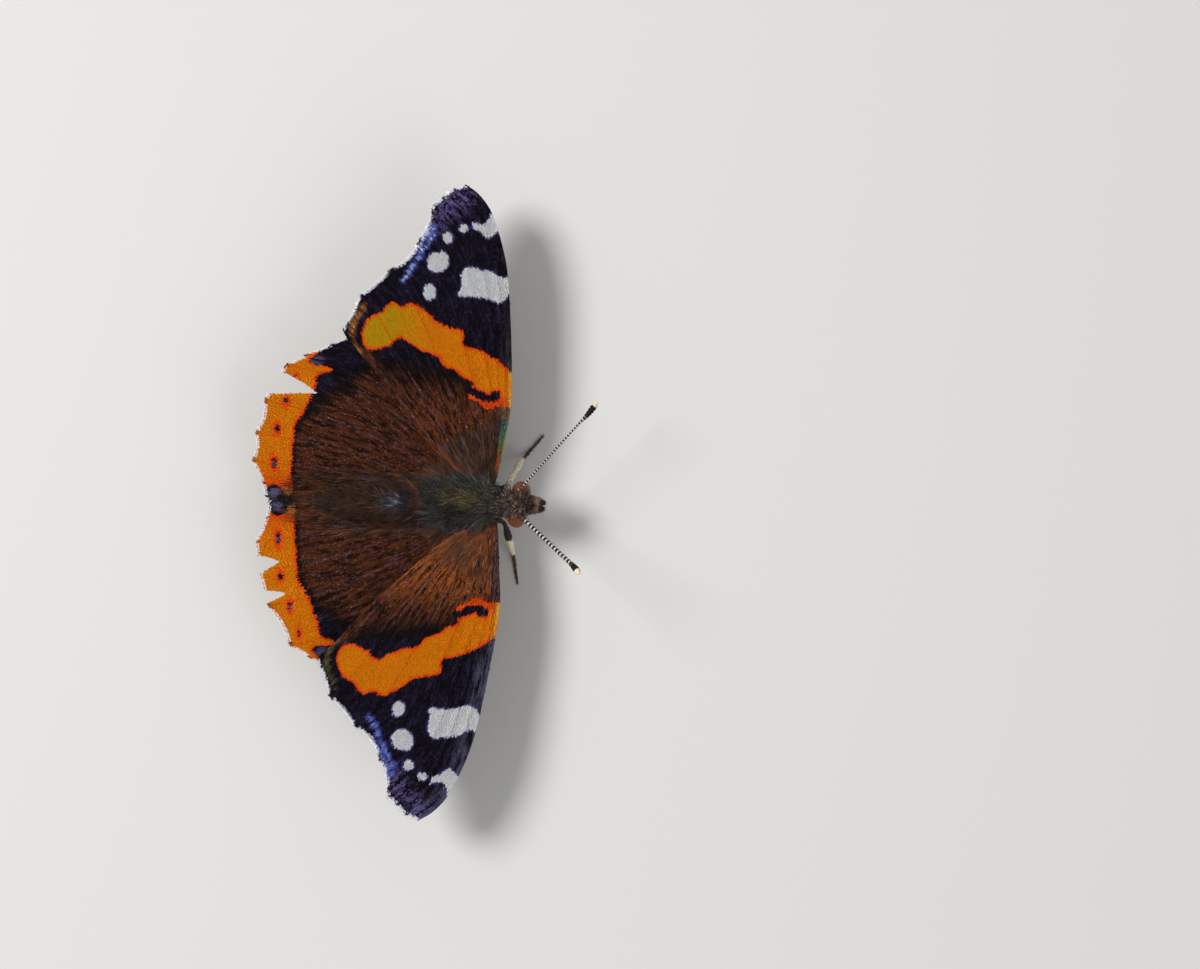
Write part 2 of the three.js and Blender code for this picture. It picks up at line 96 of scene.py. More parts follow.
def turned(places, about, angle):
    """Places turned about an upright line through a point."""
    rest = places - about
    x = rest[..., 0] * math.cos(angle) - rest[..., 1] * math.sin(angle)
    y = rest[..., 0] * math.sin(angle) + rest[..., 1] * math.cos(angle)
    return np.stack([x, y, rest[..., 2]], axis=-1) + about


def body_net():
    """The trunk's surface as rings from the face to the tail, each closed on its first point."""
    line = smooth_line(body_stations, rings_per_span)
    fore, half_width, height, half_height = line.T[:, :, None]
    segment = (fore - abdomen_reach[0]) / (abdomen_reach[1] - abdomen_reach[0]) * abdomen_segments
    lap = np.where((segment > 0) & (segment < abdomen_segments), segment % 1 - 0.5, 0)
    swell = 1 + segment_lap * lap
    turn = np.linspace(0, 2 * np.pi, body_sides + 1)[None]
    net = np.stack([
        sideways_at(fore) + half_width * swell * np.cos(turn),
        -fore + 0 * turn,
        height + half_height * swell * np.sin(turn),
    ], axis=-1)
    share = smooth_step(fore, *neck_turns)[..., None]
    straight_head = np.array([middle_line, head_place[1], head_place[2]])
    with_head = turned(net, straight_head, head_yaw) + (head_place - straight_head)
    return net + share * (with_head - net)


def tube_faces(rings, sides):
    """Faces of a closed tube whose two last points are the middles of its ends."""
    ring, side = np.meshgrid(np.arange(rings - 1), np.arange(sides), indexing="ij")
    a = (ring * sides + side).ravel()
    b = (ring * sides + (side + 1) % sides).ravel()
    around = np.arange(sides)
    onward = (around + 1) % sides
    first, last = rings * sides, rings * sides + 1
    start = (rings - 1) * sides
    return [
        np.stack([a, a + sides, b + sides, b], axis=1),
        np.stack([around, onward, np.full(sides, first)], axis=1),
        np.stack([onward + start, around + start, np.full(sides, last)], axis=1),
    ]


def tube_points(net):
    """The points of a net of rings, and the middles of its ends."""
    rings = net[:, :-1]
    ends = np.stack([rings[0].mean(0), rings[-1].mean(0)])
    return np.concatenate([rings.reshape(-1, net.shape[-1]), ends])


def placed(name, data):
    made = bpy.data.objects.new(name, data)
    bpy.context.scene.collection.objects.link(made)
    return made


def read_by(paints):
    """Names of the values that paints read from a mesh."""
    nodes = [node for paint in paints for node in paint.node_tree.nodes]
    return sorted({node.attribute_name for node in nodes if node.type == "ATTRIBUTE"})


def made_piece(name, points, faces, paints, values=None, unwrap=None, paint_of=None):
    """A mesh in millimetres as a piece on the body. Of the values, one each or one for all points, it
    keeps those that its paints read."""
    mesh = bpy.data.meshes.new(name)
    mesh.vertices.add(len(points))
    mesh.vertices.foreach_set("co", (points * millimetre).astype(np.float32).ravel())
    counts = np.concatenate([np.full(len(group), group.shape[1]) for group in faces])
    corners = np.concatenate([group.ravel() for group in faces]).astype(np.int32)
    mesh.loops.add(len(corners))
    mesh.loops.foreach_set("vertex_index", corners)
    mesh.polygons.add(len(counts))
    mesh.polygons.foreach_set("loop_start", (np.cumsum(counts) - counts).astype(np.int32))
    if paint_of is not None:
        mesh.polygons.foreach_set("material_index", paint_of.astype(np.int32))
    mesh.update(calc_edges=True)
    mesh.polygons.foreach_set("use_smooth", np.ones(len(counts), bool))
    values = {"place": points, **(values or {})}
    for key in read_by(paints):
        value = values[key] if np.ndim(values[key]) else np.full(len(points), values[key])
        kind, field = ("FLOAT_VECTOR", "vector") if value.ndim == 2 else ("FLOAT", "value")
        kept = mesh.attributes.new(key, kind, "POINT")
        kept.data.foreach_set(field, value.astype(np.float32).ravel())
    if unwrap is not None:
        chart = mesh.uv_layers.new(name="OFBake")
        chart.data.foreach_set("uv", unwrap[corners].astype(np.float32).ravel())
    for paint in paints:
        mesh.materials.append(paint)
    made = placed(name, mesh)
    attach(made, "root")
    return made


def tint(red, green, blue):
    """A colour as the eye reads it on a screen, 0 to 255, as the light that a paint sends back."""
    return (*[((level / 255 + 0.055) / 1.055) ** 2.4 if level > 10 else level / 255 / 12.92
              for level in (red, green, blue)], 1)


class Shade:
    """One value in a paint. Arithmetic on it adds Math nodes, and node() adds any other node."""

    def __init__(self, tree, socket=None):
        self.tree = tree
        self.socket = socket

    def node(self, kind, settings=None, inputs=None, output=0):
        made = self.tree.nodes.new("ShaderNode" + kind)
        for name, value in (settings or {}).items():
            setattr(made, name, value)
        for name, value in (inputs or {}).items():
            if isinstance(value, Shade):
                self.tree.links.new(value.socket, made.inputs[name])
            else:
                made.inputs[name].default_value = value
        return Shade(self.tree, made.outputs[output] if len(made.outputs) else None)

    def maths(self, operation, *others):
        return self.node("Math", {"operation": operation}, dict(enumerate((self, *others))))

    def __add__(self, other):
        return self.maths("ADD", other)

    def __sub__(self, other):
        return self.maths("SUBTRACT", other)

    def __mul__(self, other):
        return self.maths("MULTIPLY", other)

    def __truediv__(self, other):
        return self.maths("DIVIDE", other)

    def __rsub__(self, other):
        return self * -1.0 + other

    __radd__ = __add__
    __rmul__ = __mul__

    def between(self, low, high):
        """0 at low and 1 at high, with a soft step between them."""
        return self.node("MapRange", {"interpolation_type": "SMOOTHSTEP"},
                         {"Value": self, "From Min": low, "From Max": high})

    def blend(self, low, high):
        """One colour where this value is 0, and another where it is 1."""
        return self.node("Mix", {"data_type": "RGBA"}, {0: self, 6: low, 7: high}, 2)

    def times(self, amount):
        """A colour made lighter or darker by a value."""
        grey = self.node("CombineColor", None, {"Red": amount, "Green": amount, "Blue": amount})
        settings = {"data_type": "RGBA", "blend_type": "MULTIPLY"}
        return self.node("Mix", settings, {0: 1.0, 6: self, 7: grey}, 2)

    def stored(self, name):
        return self.node("Attribute", {"attribute_name": name}, None, 2)

    def stored_vector(self, name):
        return self.node("Attribute", {"attribute_name": name}, None, 1)

    def stretched(self, x, y, z):
        return self.node("VectorMath", {"operation": "MULTIPLY"}, {0: self, 1: (x, y, z)})

    def noise(self, scale, detail=2.0):
        """Cloudy noise about 0.5, over this vector."""
        return self.node("TexNoise", None, {"Vector": self, "Scale": scale, "Detail": detail})

    def parts(self):
        return [self.node("SeparateXYZ", None, {0: self}, axis) for axis in range(3)]


def new_paint(name):
    material = bpy.data.materials.new(name)
    material.use_nodes = True
    material.node_tree.nodes.clear()
    return material, Shade(material.node_tree)


def lay_paint(shade, colour, roughness, height=None, depth=0.02, **fixed):
    """Ends a paint. depth is the bump's real height in millimetres, and fixed are plain values of
    the shader's other sockets, such as Coat_Weight."""
    sockets = {"Base Color": colour, "Roughness": roughness}
    sockets |= {name.replace("_", " "): value for name, value in fixed.items()}
    if height is not None:
        sockets["Normal"] = shade.node("Bump", None, {"Height": height, "Distance": depth * millimetre})
    surface = shade.node("BsdfPrincipled", None, sockets)
    shade.node("OutputMaterial", None, {"Surface": surface})


thorax_patches = [  # fore, out, half length, half width, raggedness, strength, colour
    (4.6, 0.3, 2.1, 0.75, 1, 1, tint(84, 72, 48)),
    (3.6, -0.9, 1.0, 0.45, 1, 1, tint(18, 18, 16)),
    (6.6, 0.0, 0.7, 1.8, 1, 1, tint(66, 60, 54)),
]
tail_droop = 0.11
rib_depth = 0.4
abdomen_patches = [
    (-2.6, -0.1, 1.2, 0.6, 1, 0.7, tint(78, 74, 86)),
    (-0.5, 0.1, 0.3, 1.0, 1, 0.7, tint(108, 56, 24)),
    # painted shade: the dark blue hollow of the waist
    (-1.4, 0.3, 0.5, 1.0, 1, 1, tint(20, 24, 44)),
    # a painted highlight: the bluish-white glint on the abdomen's first plate
    (-2.4, 0.15, 0.36, 0.34, 0.25, 0.65, tint(112, 120, 132)),
]


def body_colour(shade):
    """Markings, a painted highlight and painted shade, shared by the trunk's skin and hair, by each root's
    place.
    """
    root = shade.stored_vector("root")
    fore, out, up = root.parts()
    clouds = root.noise(0.8)
    strands = root.stretched(0.7, 2.6, 2.6).noise(1.4, 3.0)

    def patched(colour, patches):
        for at_fore, at_out, long, wide, ragged, strength, hue in patches:
            away_fore = (fore - at_fore) / long
            away_out = (out - at_out) / wide
            away = (away_fore * away_fore + away_out * away_out).maths("SQRT")
            inside = (away + (clouds * 1.6 + strands * 2.0 - 1.8) * ragged).between(1.45, 0.55)
            colour = (inside * strength).blend(colour, hue)
        return colour

    flank = (out.maths("ABSOLUTE") + (strands - 0.5) * 1.5).between(0.8, 1.9)
    side_grey = (out + (strands - 0.5) * 2.0).between(-0.4, -1.4).blend(tint(60, 67, 67), tint(80, 71, 76))
    colour = patched(flank.blend(tint(38, 36, 29), side_grey), thorax_patches)
    colour = patched(fore.between(0.4, -1.6).blend(colour, tint(54, 30, 13)), abdomen_patches)
    colour = fore.between(7.0, 7.9).blend(colour, tint(74, 61, 54))
    colour = (clouds.between(0.55, 0.75) * 0.5).blend(colour, tint(84, 58, 42))
    above_belly = up - fore.maths("MINIMUM", 0.0) * tail_droop
    under = (above_belly + (clouds - 0.5)).between(5.9, 5.0)
    colour = under.blend(colour, tint(132, 112, 84))
    locks = root.stretched(0.9, 3.4, 3.4).noise(1.0, 3.0).between(0.36, 0.64)
    plate = (abdomen_reach[0] - abdomen_reach[1]) / abdomen_segments
    ribs = (fore * (2 * math.pi / plate) + clouds * 3.0).maths("SINE")
    ribs = ribs * fore.between(-1.0, -2.2) * rib_depth
    return colour.times(shade.stored("tone") * (locks + 0.45) * (ribs + 1.0))


trunk = body_net()
skin_paint, shade = new_paint("trunk_skin")
grain = shade.stored_vector("place").noise(9.0, 4.0)
lay_paint(shade, body_colour(shade), 0.7, grain, 0.03)
skin_points = tube_points(trunk)


def as_root(points):
    """Fore, out and up of places on the trunk, as the markings read them."""
    return np.stack([-points[:, 1], points[:, 0] - sideways_at(-points[:, 1]), points[:, 2]], axis=1)


skin = made_piece("trunk_skin", skin_points, tube_faces(len(trunk), body_sides), [skin_paint],
                  {"root": as_root(skin_points), "tone": 0.7})
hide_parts("head", "thorax", "abdomen")

# The coat of the trunk: fine scales drawn out into hairs, each rooted in its own socket. They lie
# rearwards, long and loose over the thorax and its shoulders, shorter and sleeker on the abdomen,
# and on the head they stand up in a short brush between the eyes.
hair_sink = 0.05
blade_foot = 0.7
blade_middle = 0.55
patch_size = 0.003
chart_edge = 0.002
chart_span = 1 - 2 * chart_edge - patch_size
blade_chart = np.array([[-0.5, 0], [0.5, 0], [0, 0.2], [-0.5, 0.5], [0.5, 0.5], [0, 0.6], [0, 1]])
eye_place = np.array([1.35, -0.3, 0.0])
eye_half = np.array([1.0, 0.95, 1.15])
eye_room = 0.05
lock_turn = 0.35
lock_lift = 0.4
lock_tone = 0.35
hair_curl = 0.6
hair_lengths = (0.65, 1.25)
hair_widths = (0.7, 1.3)
hair_lifts = (0.5, 1.5)
few_pale = 1.5


def unit(vectors):
    return vectors / np.maximum(np.linalg.norm(vectors, axis=-1, keepdims=True), 1e-9)


def net_cells(net, row, column):
    """The cell that holds each place on a net, and how far down and over in it the place lies."""
    r = np.clip(row.astype(int), 0, net.shape[0] - 2)
    c = np.clip(column.astype(int), 0, net.shape[1] - 2)
    return r, c, (row - r)[:, None], (column - c)[:, None]


def net_at(net, row, column):
    """Points of a net at places between its rows and columns."""
    r, c, down, over = net_cells(net, row, column)
    return ((net[r, c] * (1 - over) + net[r, c + 1] * over) * (1 - down)
            + (net[r + 1, c] * (1 - over) + net[r + 1, c + 1] * over) * down)


def net_ways(net, row, column, hand=1):
    """At places on a net: the way down its rows, and the way out of its surface."""
    r, c, _, _ = net_cells(net, row, column)
    along = unit(net[r + 1, c] - net[r, c])
    out = unit(np.cross(along, net[r, c + 1] - net[r, c])) * hand
    return along, out


def scattered(net, count, draw, wanted=None):
    """Random places on a net, even over its area, or thinner where wanted is below 1."""
    down = net[1:, :-1] - net[:-1, :-1]
    over = net[:-1, 1:] - net[:-1, :-1]
    area = np.linalg.norm(np.cross(down, over), axis=-1)
    if wanted is not None:
        area = area * wanted
    cells = draw.choice(area.size, count, p=area.ravel() / area.sum())
    row, column = np.divmod(cells, area.shape[1])
    return row + draw.random(count), column + draw.random(count)


def blades(root, along, out, length, width, lift, droop, keel=0.3):
    """Closed tapered blades, seven points each: a root, a fuller middle and a tip."""
    count = len(root)
    length, width, lift, droop = [np.broadcast_to(v, count)[:, None] for v in (length, width, lift, droop)]
    side = unit(np.cross(along, out))

    def spine(share):
        return root + (along * share + out * (lift * share - droop * share ** 2)) * length

    def ring(centre, wide):
        return [centre - side * wide / 2, centre + side * wide / 2, centre + out * wide * keel]

    base = ring(spine(0) - out * hair_sink, width * blade_foot)
    middle = ring(spine(blade_middle), width)
    return np.stack([*base, *middle, spine(1)], axis=1)


def coat_piece(name, beds, paint):
    """Joins beds of blades into one piece. A bed is its blades, its chart and its roots' values."""
    points = np.concatenate([bed[0] for bed in beds])
    chart = np.concatenate([bed[1] for bed in beds])
    count = len(points)
    values = {key: np.repeat(np.concatenate([bed[2][key] for bed in beds]), 7, axis=0)
              for key in read_by([paint]) if key != "place"}
    first = 7 * np.arange(count)[:, None]
    sides = [first + [a, a + 3, b + 3, b] for a, b in ((0, 1), (1, 2), (2, 0))]
    tips = [first + [a + 3, 6, b + 3] for a, b in ((0, 1), (1, 2), (2, 0))]
    faces = [np.concatenate(sides), np.concatenate([first + [0, 1, 2], *tips])]
    patches = chart_edge + chart_span * chart[:, None] + patch_size * blade_chart[None]
    return made_piece(name, points.reshape(-1, 3), faces, [paint], values, patches.reshape(-1, 2))


def swung(along, out, angle):
    """A way turned by an angle within the surface."""
    side = np.cross(along, out)
    return unit(along * np.cos(angle)[:, None] + side * np.sin(angle)[:, None])


def tousled(root):
    """Gentle waves over the body, from -1 to 1, that gather its hair into locks."""
    x, y, z = root.T
    return np.sin(3.9 * y + 2.4 * np.sin(3.1 * x)) * np.sin(3.3 * x + 2.1 * z + 1.9 * np.sin(2.7 * y))


def trunk_bed(count, fores, length, width, lift, spread, draw, keep=None, splay=0.0, forwards=False,
              tones=(0.4, 2.0)):
    """A bed of hair on the trunk between two distances fore of the waist. It lies rearwards, and
    splay turns it out to both sides."""
    middle = -trunk[:-1, :-1, 1]
    wanted = ((middle > fores[0]) & (middle < fores[1])).astype(float)
    row, column = scattered(trunk, count, draw, wanted)
    root = net_at(trunk, row, column)
    along, out = net_ways(trunk, row, column)
    if forwards:
        along = -along
    if keep is not None:
        kept = keep(root, out)
        row, column, root, along, out = row[kept], column[kept], root[kept], along[kept], out[kept]
    count = len(root)
    waves = tousled(root)
    angle = draw.normal(0, spread, count) + splay * np.sign(out[:, 0]) + lock_turn * waves
    sized = length * draw.uniform(*hair_lengths, count)
    made = blades(root, swung(along, out, angle), out, sized, width * draw.uniform(*hair_widths, count),
                  lift * draw.uniform(*hair_lifts, count) * (1 + lock_lift * waves), lift * hair_curl)
    chart = np.stack([row / len(trunk), column / body_sides], axis=1)
    tone = (tones[0] + (tones[1] - tones[0]) * draw.random(count) ** few_pale) * (1 + lock_tone * waves)
    return made, chart, {"root": as_root(root), "tone": tone}


def clear_of_eyes(root, out):
    """Leaves out the roots that the eyes cover."""
    local = turned(root - head_place, np.zeros(3), -head_yaw)
    away = [np.sum(((local - eye_place * [hand, 1, 1]) / (eye_half + eye_room)) ** 2, axis=1)
            for hand in (1, -1)]
    return np.min(away, axis=0) > 1


def brow(root, out):
    """Keeps the roots along the inner edges of the eyes, whose hairs reach over them."""
    return clear_of_eyes(root, out) & (out[:, 2] > 0.35) & (np.abs(out[:, 0]) > 0.3)


def over_wings(root, out):
    return (np.abs(out[:, 0]) > 0.4) & (out[:, 2] > 0.1)


def on_back(root, out):
    return out[:, 2] > -0.2


def on_crown(root, out):
    return clear_of_eyes(root, out) & (out[:, 2] > 0.1)


hair_paint, shade = new_paint("trunk_hair")
lay_paint(shade, body_colour(shade), 0.6, Sheen_Weight=0.04, Specular_IOR_Level=0.15)
draw = np.random.default_rng(11)
thorax_beds = [  # hairs, stretch of the trunk, length, width, lift, spread
    trunk_bed(7500, (0.0, 7.6), 1.25, 0.07, 0.3, 0.3, draw),
    trunk_bed(3000, (0.6, 7.0), 0.9, 0.06, 0.6, 0.6, draw),
    trunk_bed(6500, (-0.6, 6.6), 2.1, 0.06, 0.42, 0.38, draw, over_wings, 0.6, tones=(0.3, 2.4)),
    trunk_bed(1400, (6.0, 7.6), 1.0, 0.055, 0.55, 0.5, draw, forwards=True),
]
coat_piece("thorax_hair", thorax_beds, hair_paint)
abdomen_beds = [
    trunk_bed(8500, (-11.4, 0.3), 0.8, 0.07, 0.16, 0.22, draw),
    trunk_bed(4500, (-9.5, 0.3), 1.6, 0.05, 0.3, 0.35, draw, on_back, 0.3),
]
coat_piece("abdomen_hair", abdomen_beds, hair_paint)
head_beds = [
    trunk_bed(5200, (7.2, 10.3), 0.6, 0.05, 0.6, 0.7, draw, clear_of_eyes, tones=(0.2, 1.1)),
    trunk_bed(2400, (7.4, 10.3), 0.95, 0.085, 1.0, 0.7, draw, on_crown, 0.35, tones=(0.25, 4.6)),
    trunk_bed(900, (8.9, 10.3), 0.7, 0.07, 0.8, 0.6, draw, clear_of_eyes, forwards=True, tones=(0.4, 3.2)),
    trunk_bed(2400, (8.3, 9.9), 0.75, 0.06, 1.9, 0.35, draw, brow, 1.25, tones=(0.5, 5.0)),
]
coat_piece("head_hair", head_beds, hair_paint)

# The eyes: two swollen domes of thousands of six-sided lenses under a clear, hard skin. They are
# grown into the sides of the head and have false pupils. Paler outside, they are painted dark
# red-brown inside as the shade of the head hair.
eye_rings = 48
eye_sides = 64
lens_size = 0.045
lens_lift = 0.004
pole_gap = 0.02
pupil_gap = 1 / 1.35
side_of = {1: "left", -1: "right"}


def from_head(places):
    """Places measured from the middle of the head, put where the turned head holds them."""
    return turned(np.asarray(places, float), np.zeros(3), head_yaw) + head_place


def eye_net(hand):
    """A dome of rings round the line from the middle of the head outwards, through the lenses."""
    polar = np.linspace(pole_gap, np.pi - pole_gap, eye_rings)[:, None]
    turn = np.linspace(0, 2 * np.pi, eye_sides + 1)[None]
    ball = np.stack([np.cos(polar) + 0 * turn, np.sin(polar) * np.cos(turn), -np.sin(polar) * np.sin(turn)],
                    axis=-1)
    ball[..., 0] *= -1
    return ball * eye_half * [hand, 1, 1] + eye_place * [hand, 1, 1]


eye_paint, shade = new_paint("lenses")
place = shade.stored_vector("local")
_, aside, up = place.parts()
lenses = place.node("TexVoronoi", {"feature": "F1"}, {"Vector": place, "Scale": 1 / lens_size})
mottle = place.noise(2.2, 3.0)
# painted shade: the inner side of each eye is darker, as in the shade of the head hair
colour = (aside + (mottle - 0.5) * 0.8).between(1.0, 1.9).blend(tint(88, 38, 16), tint(158, 86, 38))
colour = (up + (mottle - 0.5) * 0.4).between(-0.35, -0.85).blend(colour, tint(150, 110, 66))
pupil = place.node("TexVoronoi", {"feature": "F1"}, {"Vector": place, "Scale": 1 / pupil_gap})
colour = pupil.between(0.24, 0.12).blend(colour, tint(24, 12, 8))
colour = lenses.between(0.2, 0.7).blend(colour, tint(60, 30, 14))
lay_paint(shade, colour, 0.35, 1 - lenses, lens_lift,
          Coat_Weight=0.12, Coat_Roughness=0.3, Specular_IOR_Level=0.3)
for hand, side in side_of.items():
    net = eye_net(hand)
    local = tube_points(net)
    faces = tube_faces(eye_rings, eye_sides)
    if hand == -1:
        faces = [group[:, ::-1] for group in faces]
    shown = np.stack([-local[:, 1], hand * local[:, 0], local[:, 2]], axis=1)
    eye = made_piece(f"eye_{side}_lenses", from_head(local), faces, [eye_paint], {"local": shown})
    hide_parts(f"eye_{side}")

# The palps: two feelers of three joints that stand up in front of the face like a beak. They are
# thick with dark brown scales, painted pale grey-tan on top as painted light except at the tips,
# and the right palp is painted darker as painted shade.
palp = [[0.36, -0.4, -0.85, 0.26], [0.42, -0.8, -0.95, 0.32], [0.44, -1.2, -0.75, 0.36],
        [0.41, -1.8, -0.35, 0.31], [0.36, -2.3, 0.1, 0.2], [0.33, -2.65, 0.42, 0.07]]
palp_lean = 0.11
palp_scales = 1900
# painted light and shade: the left palp's scales are lightened and the right one's darkened
palp_painted_light = {"left": 1.15, "right": 0.7}
limb_sides = 16
limb_seam = np.array([0.3, 0.2, 1.0])


def lengths_along(line):
    """The length along a line up to each of its points."""
    return np.concatenate([[0], np.cumsum(np.linalg.norm(np.diff(line, axis=0), axis=1))])


def limb_net(path, per_span, shape=None):
    """A tapered round limb along points of x, y, z and radius, as closed rings. shape may change
    the radius by the length along the limb."""
    line = smooth_line(path, per_span)
    centre = line[:, :3]
    along = unit(np.gradient(centre, axis=0))
    reach = lengths_along(centre)
    radius = line[:, 3] if shape is None else line[:, 3] * shape(reach)
    turn = np.linspace(0, 2 * np.pi, limb_sides + 1)[:, None]
    across = unit(limb_seam)
    rings = []
    for point, way, size in zip(centre, along, radius):
        across = unit(across - way * (across @ way))
        beside = np.cross(across, way)
        rings.append(point + size * (across * np.cos(turn) + beside * np.sin(turn)))
    return np.stack(rings), reach


def limb_values(reach):
    """A value of each ring, for every point of the limb."""
    return np.concatenate([np.repeat(reach, limb_sides), reach[[0, -1]]])


def limb_piece(name, net, paint, values):
    """The solid part of a limb as a piece."""
    return made_piece(name, tube_points(net), tube_faces(len(net), limb_sides), [paint], values)


def limb_bed(net, reach, count, length, width, lift, spread, draw, keep=None):
    """Scales or hairs that lie along a limb towards its tip."""
    row, column = scattered(net, count, draw)
    if keep is not None:
        kept = keep(row / (len(net) - 1))
        row, column = row[kept], column[kept]
    count = len(row)
    root = net_at(net, row, column)
    along, out = net_ways(net, row, column)
    made = blades(root, swung(along, out, draw.normal(0, spread, count)), out,
                  length * draw.uniform(0.7, 1.3, count), width, lift * draw.uniform(0.6, 1.4, count),
                  lift * 0.5)
    chart = np.stack([row / len(net), column / limb_sides], axis=1)
    share = np.interp(row, np.arange(len(reach)), reach)
    return made, chart, {"along": share, "tone": draw.uniform(0.6, 1.4, count), "height": root[:, 2]}


def palp_path(hand):
    path = np.array([[hand * out - palp_lean * fore, fore, up, size] for out, fore, up, size in palp])
    path[:, :3] = from_head(path[:, :3])
    return path


palp_paint, shade = new_paint("palp_scales")
clouds = shade.stored_vector("place").noise(3.0)
# painted light: the scales on top of the palps are pale, except near the tips
above = (shade.stored("height") + (clouds - 0.5) * 0.5).between(5.95, 6.35)
short = (shade.stored("along") + (clouds - 0.5) * 0.6).between(2.4, 1.9)
colour = (above * short).blend(tint(62, 40, 29), tint(164, 128, 110))
lay_paint(shade, colour.times(shade.stored("tone")), 0.65, clouds, 0.02, Specular_IOR_Level=0.2)
draw = np.random.default_rng(23)
for hand, side in side_of.items():
    net, reach = limb_net(palp_path(hand), per_span=8)
    values = {"height": tube_points(net)[:, 2], "along": limb_values(reach), "tone": 0.8}
    core = limb_piece(f"palp_{side}_core", net, palp_paint, values)
    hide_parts(f"palp_{side}")
    bed = limb_bed(net, reach, palp_scales, length=0.42, width=0.07, lift=0.55, spread=0.45, draw=draw)
    # painted light and shade, by side
    bed[2]["tone"] *= palp_painted_light[side]
    coat_piece(f"palp_{side}_scales", [bed], palp_paint)

# The feelers: stiff rods of some thirty rings, black with a collar of white scales on each, that
# swell into a long black club with a cream tip. Each swivels on a bulb in a cup of the brow.
left_feeler = [[0.55, 0.1, 1.15, 0.22], [0.6, 0.15, 1.65, 0.15], [1.0, -0.02, 2.1, 0.12],
               [2.1, -0.55, 2.35, 0.12], [5.71, -2.75, 2.75, 0.12], [9.2, -4.98, 3.4, 0.13],
               [9.8, -5.4, 3.5, 0.22], [10.5, -5.8, 3.6, 0.3], [11.1, -6.1, 3.66, 0.27],
               [11.38, -6.24, 3.7, 0.1]]
right_feeler = [[-0.45, 0.1, 1.1, 0.22], [-0.65, 0, 1.5, 0.17], [-1.05, -0.55, 2.0, 0.18],
                [-1.5, -1.3, 2.6, 0.19], [-3.05, -3.7, 4.6, 0.2], [-4.6, -6.15, 6.9, 0.21],
                [-4.9, -6.6, 7.4, 0.25], [-5.2, -7.0, 8.05, 0.31], [-5.5, -7.3, 8.6, 0.28],
                [-5.6, -7.43, 8.86, 0.1]]
ring_pitch = {"left": 0.34, "right": 0.5}
ring_swell = 0.12
tip_length = 0.55


def ringed(pitch):
    """A radius that swells once in each ring of a feeler."""
    return lambda reach: 1 + ring_swell * np.sin(2 * np.pi * reach / pitch)


feeler_paint, shade = new_paint("feeler")
to_tip = shade.stored("to_tip")
wobble = shade.stored_vector("place").noise(7.0)
phase = shade.stored("ring").maths("FRACT")
collar = (phase + (wobble - 0.5) * 0.3).between(0.52, 0.62) * to_tip.between(1.6, 2.4)
collar = collar * shade.stored("along").between(1.7, 2.7)
foot = (shade.stored("along") + (wobble - 0.5) * 0.6).between(2.6, 1.6)
colour = foot.blend(tint(20, 16, 15), tint(66, 38, 24))
colour = collar.blend(colour, tint(198, 192, 184))
cream = (to_tip + (wobble - 0.5) * 0.2).between(tip_length, tip_length * 0.75)
colour = cream.blend(colour, tint(232, 214, 176))
lay_paint(shade, colour, 0.6, wobble, 0.02, Specular_IOR_Level=0.2)
for side, path in (("left", left_feeler), ("right", right_feeler)):
    route = np.array(path)
    route[:, :3] = from_head(route[:, :3])
    net, reach = limb_net(route, per_span=24, shape=ringed(ring_pitch[side]))
    along = limb_values(reach)
    values = {"along": along, "ring": along / ring_pitch[side], "to_tip": reach[-1] - along}
    feeler = limb_piece(f"feeler_{side}", net, feeler_paint, values)
    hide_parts(f"antenna_{side}")

# The tongue: two channels hooked together into one sucking tube, ringed like a hose so that it
# coils. At rest it is rolled up flat between the palps, springy, brown and a little shiny.
tongue_root = [0.0, -0.6, -0.9]
tongue_centre = [0.0, -1.45, -2.15]
tongue_outer = 0.98
tongue_inner = 0.18
tongue_turns = 2.4
tongue_radius = 0.13
tongue_taper = 0.45
tongue_ring = 0.11
tongue_steps = 48
tongue_bulge = 1.3

steps = np.linspace(0, 1, tongue_steps)
turn = np.pi / 2 + 2 * np.pi * tongue_turns * steps
spiral_reach = tongue_outer + (tongue_inner - tongue_outer) * steps
spiral = np.stack([0 * steps, tongue_centre[1] + spiral_reach * np.cos(turn),
                   tongue_centre[2] + spiral_reach * np.sin(turn),
                   tongue_radius * (1 - tongue_taper * steps)], axis=1)
route = np.vstack([[*tongue_root, tongue_radius * tongue_bulge], spiral])
route[:, :3] = from_head(route[:, :3])
net, reach = limb_net(route, per_span=6)
tongue_paint, shade = new_paint("tongue")
along = shade.stored("along")
rings = (along * (2 * math.pi / tongue_ring)).maths("SINE")
colour = rings.between(-1.0, 1.0).blend(tint(40, 24, 14), tint(96, 60, 32))
lay_paint(shade, colour, 0.38, rings, 0.012)
tongue = limb_piece("tongue", net, tongue_paint, {"along": limb_values(reach)})
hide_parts("proboscis")

